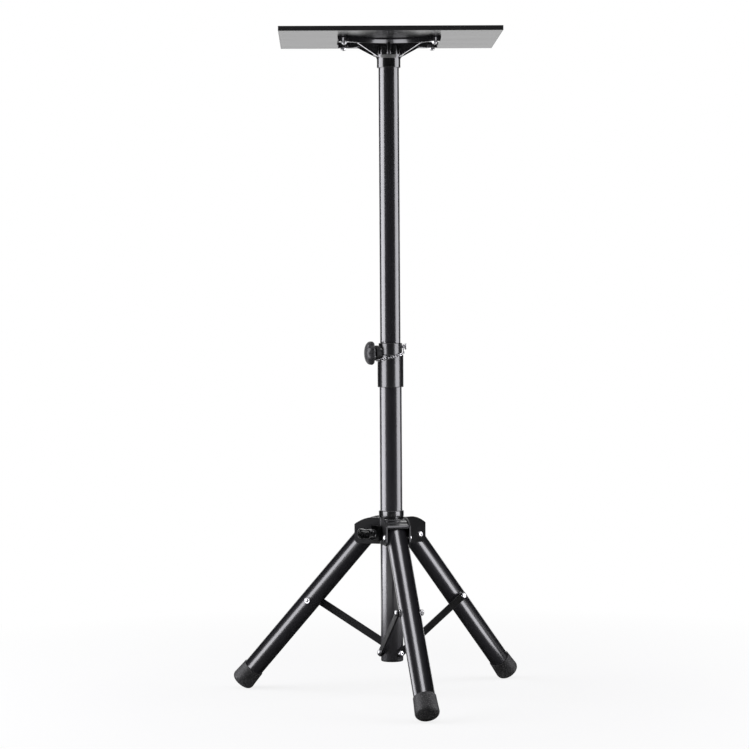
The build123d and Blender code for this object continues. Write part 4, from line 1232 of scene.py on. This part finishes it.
class STAND_OT_struts(bpy.types.Operator):
    """Make the flat struts with the bolts at both their ends"""

    bl_idname = "stand.struts"
    bl_label = "Struts and bolts"

    def execute(self, context):
        for name in LEGS:
            eye = joint_line(name + "_strut_pivot")
            points = points_of(name + "_strut") - eye.origin
            side = points @ eye.axis
            flat = points - np.outer(side, eye.axis)
            far = flat[np.linalg.norm(flat, axis=1).argmax()]
            half = np.linalg.norm(np.cross(flat, unit(far)), axis=1).max()
            place = line(eye.origin + eye.axis * side.min(), eye.axis, far)
            insets, heights = slab_rows(side.max() - side.min(), edge=0.0007)
            rings = [bar_ring(np.linalg.norm(far) - half, half - inset) for inset in insets]
            piece(name + "_flat_strut", layered(rings, heights, place), name + "_strut", "matte_black_steel",
                  name + "_strut")

            bolt = span(name + "_strut_bolt", eye)
            tube = span(name + "_leg_tube", leg_line(name)).far
            nut = (
                (0.0, tube, 0), (0.0048, tube, 1), (HEAD_RADIUS, tube + 0.0004, 1),
                (HEAD_RADIUS, tube + 0.0042, 1), (0.0046, tube + 0.0047, 0), (0.0038, tube + 0.0047, 0),
                (0.003, tube + 0.0046, 0), (0.0029, tube + 0.0057, 0), (0.0024, tube + 0.006, 0),
                (0.0, tube + 0.006, 0),
            )
            shank = rod(SHANK, bolt.low + HEAD_HEIGHT, tube + 0.001, eye)
            seat, rim = side.max() + SLIDE, 0.0065
            washer = turned(rounded(((0.0, seat), (rim, seat), (rim, -tube), (0.0, -tube)), 0.0002), eye, 64)
            fastener = joined(self.dome(bolt.low, eye), shank, washer, six_sided(nut, eye))
            piece(name + "_strut_fastener", fastener, name + "_leg", "chrome", name + "_strut_bolt")

            foot = line(eye.origin + far - unit(far) * half, eye.axis)
            lower = span(name + "_lower_bolt", foot)
            fastener = joined(self.dome(lower.low, foot), rod(SHANK, lower.low + 0.002, lower.high, foot))
            piece(name + "_lower_fastener", fastener, name + "_strut", "chrome", name + "_lower_bolt")
        return {"FINISHED"}

    @staticmethod
    def dome(top, around):
        """Domed head with a six-sided socket: its rows go from the socket's floor out and to the seat."""
        seat = top + HEAD_HEIGHT
        return six_sided((
            (0.0, top + 0.0017, 1), (0.0019, top + 0.0016, 1), (0.002, top + 0.0001, 1), (0.0023, top, 0),
            (0.003, top + 0.0001, 0), (0.0039, top + 0.0005, 0), (0.0047, top + 0.0012, 0),
            (HEAD_RADIUS, top + 0.0022, 0), (HEAD_RADIUS, seat, 0), (0.0, seat, 0),
        ), around)


class STAND_OT_stage(bpy.types.Operator):
    """Set up the white world, the floor, the drape, the camera and the lamps"""

    bl_idname = "stand.stage"
    bl_label = "Stage"

    def execute(self, context):
        scene = context.scene
        studio = scene.stand_studio
        scene.view_settings.view_transform = "Standard"
        self.white_world(scene)
        self.floor(scene)
        self.drape(scene)
        self.camera(scene, studio)

        bracket, ring = ["four_arm_bracket"], ["hub_body", "collar"]
        dark = bracket + [name + "_tube" for name in LEGS]
        plates = [name + "_bent_plate" for name in LEGS]
        fasteners = [f"{name}_{kind}_fastener" for name in LEGS for kind in ("pivot", "strut", "lower")]
        not_left = dark + ["tray_sheet", "hub_grip", "hub_knob_seat"] + ring
        not_right = dark + ["tray_sheet", "right_bent_plate", "right_flat_strut"] + ring
        not_top = dark + ["hub_knob_seat"]
        light = partial(self.light, scene)
        light("left_softbox", (-1.62, -0.12, 0.85), 0.8, NORTH, (1.5, 2.3), studio.left, without=not_left)
        light("right_softbox", (1.62, -0.12, 0.85), 0.8, NORTH, (1.4, 2.3), studio.right, without=not_right)
        light("top_softbox", (0.0, -0.3, 2.9), 0.8, EAST, (2.2, 2.2), studio.top, without=not_top)
        light("edge_softbox", (0.35, -0.95, 0.2), 0.3, EAST, (0.6, 0.4), 6.0, only=plates)
        light("low_left_softbox", (-0.6, -0.045, 0.08), 0.08, UP, (0.14, 0.5), 3.0, only=["column_tube"])
        for title, hand, glow in (("left", -1, 5.2), ("right", 1, 4.6)):
            light(f"low_{title}_strip", (0.75 * hand, -2.1, 0.1), 1.1, EAST, (1.0, 1.6), 3.3, only=bracket)
            light(f"hub_{title}_softbox", (1.33 * hand, -0.72, 0.45), 0.35, UP, (0.9, 1.1), glow,
                  only=ring + fasteners)
        light("low_rear_strip", (0.0, 1.1, 0.05), 1.1, EAST, (2.0, 0.5), 5.0, only=bracket)
        for place, (name, turn, width, brightness) in enumerate(LEG_STRIPS):
            self.leg_strip(scene, f"leg_strip_{place}", name, turn, width, brightness)
        return {"FINISHED"}

    def light(self, scene, title, place, aim, side, size, brightness, only=(), without=()):
        """Softbox at a place, turned to the mast at the height of its aim, with its width along a side. It
        lights only some pieces, or all without some."""
        place = np.array(place)
        lamp = self.softbox(scene, title, line(place, place - aim * UP, side), *size, brightness)
        self.link(lamp, only or without, "INCLUDE" if only else "EXCLUDE")

    def leg_strip(self, scene, title, name, turn, width, brightness, away=0.12):
        """Strip light along one leg, the only piece that it lights. With d the camera's view of the leg and
        n the leg's normal at an angle from its line nearest the camera, the strip lies from the leg along
        d - 2 (d.n) n."""
        leg = leg_line(name)
        tube = span(name + "_leg_tube", leg)
        middle = leg.origin + leg.axis * (tube.low + tube.high) / 2
        view = unit(middle - np.array(scene.camera.matrix_world.translation))
        facing = -unit(view - leg.axis * (view @ leg.axis))
        side = np.cross(facing, leg.axis)
        side = side * np.sign(side[0])
        normal = cos(turn) * facing + sin(turn) * side
        out = view - 2 * (view @ normal) * normal
        place = middle + tube.far * normal + away * out
        around = line(place, out - leg.axis * (out @ leg.axis), leg.axis)
        length, across = tube.high - tube.low + away, 2 * away * np.tan(width / 2)
        lamp = self.softbox(scene, title, around, length, across, brightness)
        self.link(lamp, [name + "_tube"], "INCLUDE")

    @staticmethod
    def link(lamp, pieces, state):
        """Says which pieces a lamp alone lights, or leaves out."""
        group = bpy.data.collections.new(lamp.name + "_pieces")
        for name in pieces:
            group.objects.link(bpy.data.objects[name])
        for member in group.collection_objects:
            member.light_linking.link_state = state
        lamp.light_linking.receiver_collection = group

    @staticmethod
    def seen(root):
        """1 for rays that come from the camera, from a mirror or through glass, and 0 for the rest."""
        rays = [root.node("ShaderNodeLightPath", {}, {}, out=name)
                for name in ("Is Camera Ray", "Is Glossy Ray", "Is Transmission Ray")]
        return root.maths("MAXIMUM", rays[0], root.maths("MAXIMUM", rays[1], rays[2]))

    def white_world(self, scene):
        """World that is white where it is seen and dim where it lights."""
        scene.world = bpy.data.worlds.new("white_studio")
        scene.world.use_nodes = True
        scene.world.node_tree.nodes.clear()
        root = Socket(scene.world.node_tree)
        dim = root.node("ShaderNodeBackground", {}, {"Color": grey(1.0), "Strength": 0.12})
        white = root.node("ShaderNodeBackground", {}, {"Color": grey(1.0), "Strength": 1.0})
        mixed = root.node("ShaderNodeMixShader", {}, {0: self.seen(root), 1: dim, 2: white})
        root.node("ShaderNodeOutputWorld", {}, {"Surface": mixed})

    def floor(self, scene):
        """Round white floor that shows a soft shadow near the stand and goes over into the white of the
        world towards its rim. Reflections show it dulled near the stand, because the photo's legs show no
        white floor."""
        material, root, place = new_finish("white_floor")
        mirrored = root.node("ShaderNodeLightPath", {}, {}, out="Is Glossy Ray")
        away = root.length(place)
        paper = root.node("ShaderNodeBsdfDiffuse", {}, {"Color": grey(0.8)})
        glow = root.node("ShaderNodeEmission", {}, {"Color": grey(1.0), "Strength": 1.0})
        dull = root.node("ShaderNodeBsdfDiffuse", {}, {"Color": grey(0.03)})
        glowing = root.between(away, low=0.45, high=1.2, start=0.82, end=1.0) * self.seen(root)
        white = root.node("ShaderNodeMixShader", {}, {0: glowing, 1: paper, 2: glow})
        dulled = root.between(away, low=0.6, high=0.9, start=1.0, end=0.0) * mirrored
        mixed = root.node("ShaderNodeMixShader", {}, {0: dulled, 1: white, 2: dull})
        root.node("ShaderNodeOutputMaterial", {}, {"Surface": mixed})
        radius, segments = 1.3, 96
        points, faces = layered([radius * on_circle(full_turn(segments))], [0.0], MAST)
        self.add(scene, "floor", points, faces[segments:], material)

    def drape(self, scene):
        """Dark cloth round the studio and over it, seen in reflections only: its rows of (distance, height)
        are carried round the mast. It is open behind the stand, where the white of the background shows."""
        material, root, _ = new_finish("dark_drape")
        cloth = root.node("ShaderNodeBsdfDiffuse", {}, {"Color": grey(0.02)})
        root.node("ShaderNodeOutputMaterial", {}, {"Surface": cloth})
        turn = np.linspace(radians(118), radians(62) + 2 * pi, 96)
        reach = np.array((6.0, 6.0, 0.1))[:, None]
        height = np.array((-4.0, 4.0, 4.0))[:, None]
        points = np.stack(np.broadcast_arrays(reach * np.cos(turn), reach * np.sin(turn), height), axis=-1)
        faces = quads(len(reach), len(turn), wrap_columns=False)
        made = self.add(scene, "drape", points.reshape(-1, 3), faces, material)
        made.visible_camera = made.visible_diffuse = made.visible_shadow = made.visible_transmission = False

    @staticmethod
    def add(scene, name, points, faces, material):
        """Mesh that belongs to the stage."""
        mesh = bpy.data.meshes.new(name)
        mesh.from_pydata(points.tolist(), [], faces.tolist())
        mesh.materials.append(material)
        made = bpy.data.objects.new(name, mesh)
        scene.collection.objects.link(made)
        return made

    @staticmethod
    def softbox(scene, name, around, width, height, brightness):
        """Area light at a line's origin that shines against its axis, its width along the line's side. Its
        power is brightness times pi times its area."""
        lamp = bpy.data.lights.new(name, "AREA")
        lamp.shape, lamp.size, lamp.size_y = "RECTANGLE", width, height
        lamp.energy = brightness * pi * width * height
        lamp.color = COOL_WHITE
        made = bpy.data.objects.new(name, lamp)
        scene.collection.objects.link(made)
        columns = np.stack([around.side, around.third, around.axis, around.origin], axis=1)
        made.matrix_world = Matrix(columns.tolist() + [[0, 0, 0, 1]])
        made.visible_camera = False
        return made

    @staticmethod
    def camera(scene, studio):
        """Camera of the photo: turned by its yaw, pitch and roll and swung with its place round the mast."""
        pitch, yaw, roll = studio.pitch, studio.yaw, studio.roll
        ahead = np.array((sin(yaw) * cos(pitch), cos(yaw) * cos(pitch), -sin(pitch)))
        right = np.array((cos(yaw), -sin(yaw), 0.0))
        over = np.cross(right, ahead)
        tilted = cos(roll) * right + sin(roll) * over
        top = -sin(roll) * right + cos(roll) * over
        place = np.array((0.0, -studio.distance, studio.height))
        columns = spun(studio.swing) @ np.stack([tilted, top, -ahead, place], axis=1)
        lens = bpy.data.cameras.new("camera")
        lens.sensor_width, lens.lens = SENSOR, studio.lens
        made = bpy.data.objects.new("camera", lens)
        scene.collection.objects.link(made)
        made.matrix_world = Matrix(columns.tolist() + [[0, 0, 0, 1]])
        scene.camera = made


class STAND_PT_pieces(bpy.types.Panel):
    """Lists the pieces of the stand, its sizes, colours and studio"""

    bl_idname = "STAND_PT_pieces"
    bl_label = "Projector stand"
    bl_space_type = "VIEW_3D"
    bl_region_type = "UI"
    bl_category = "Stand"

    def draw(self, context):
        for operator in OPERATORS:
            self.layout.operator(operator.bl_idname)
        for group in GROUPS:
            column = self.layout.column(align=True)
            settings = getattr(context.scene, group)
            for key in settings.bl_rna.properties.keys():
                if key not in ("rna_type", "name"):
                    column.prop(settings, key)


OPERATORS = (
    STAND_OT_tubes, STAND_OT_foot_caps, STAND_OT_collar, STAND_OT_collar_knob, STAND_OT_lock_pin,
    STAND_OT_tray, STAND_OT_bracket, STAND_OT_hub, STAND_OT_hub_knob, STAND_OT_struts, STAND_OT_stage,
)
GROUPS = {"stand_sizes": StandSizes, "stand_colours": StandColours, "stand_studio": StandStudio}


def register():
    """Adds the property groups, operators and panel."""
    for group in (*GROUPS.values(), *OPERATORS, STAND_PT_pieces):
        bpy.utils.register_class(group)
    for name, group in GROUPS.items():
        setattr(bpy.types.Scene, name, PointerProperty(type=group))


def unregister():
    """Takes away what register() added."""
    for name in GROUPS:
        delattr(bpy.types.Scene, name)
    for group in reversed((*GROUPS.values(), *OPERATORS, STAND_PT_pieces)):
        bpy.utils.unregister_class(group)


def main():
    """Builds the whole stand."""
    register()
    bpy.ops.stand.tubes()
    bpy.ops.stand.foot_caps()
    bpy.ops.stand.collar()
    bpy.ops.stand.collar_knob()
    bpy.ops.stand.lock_pin()
    bpy.ops.stand.tray()
    bpy.ops.stand.bracket()
    bpy.ops.stand.hub()
    bpy.ops.stand.hub_knob()
    bpy.ops.stand.struts()
    bpy.ops.stand.stage()


if __name__ == "__main__":
    main()
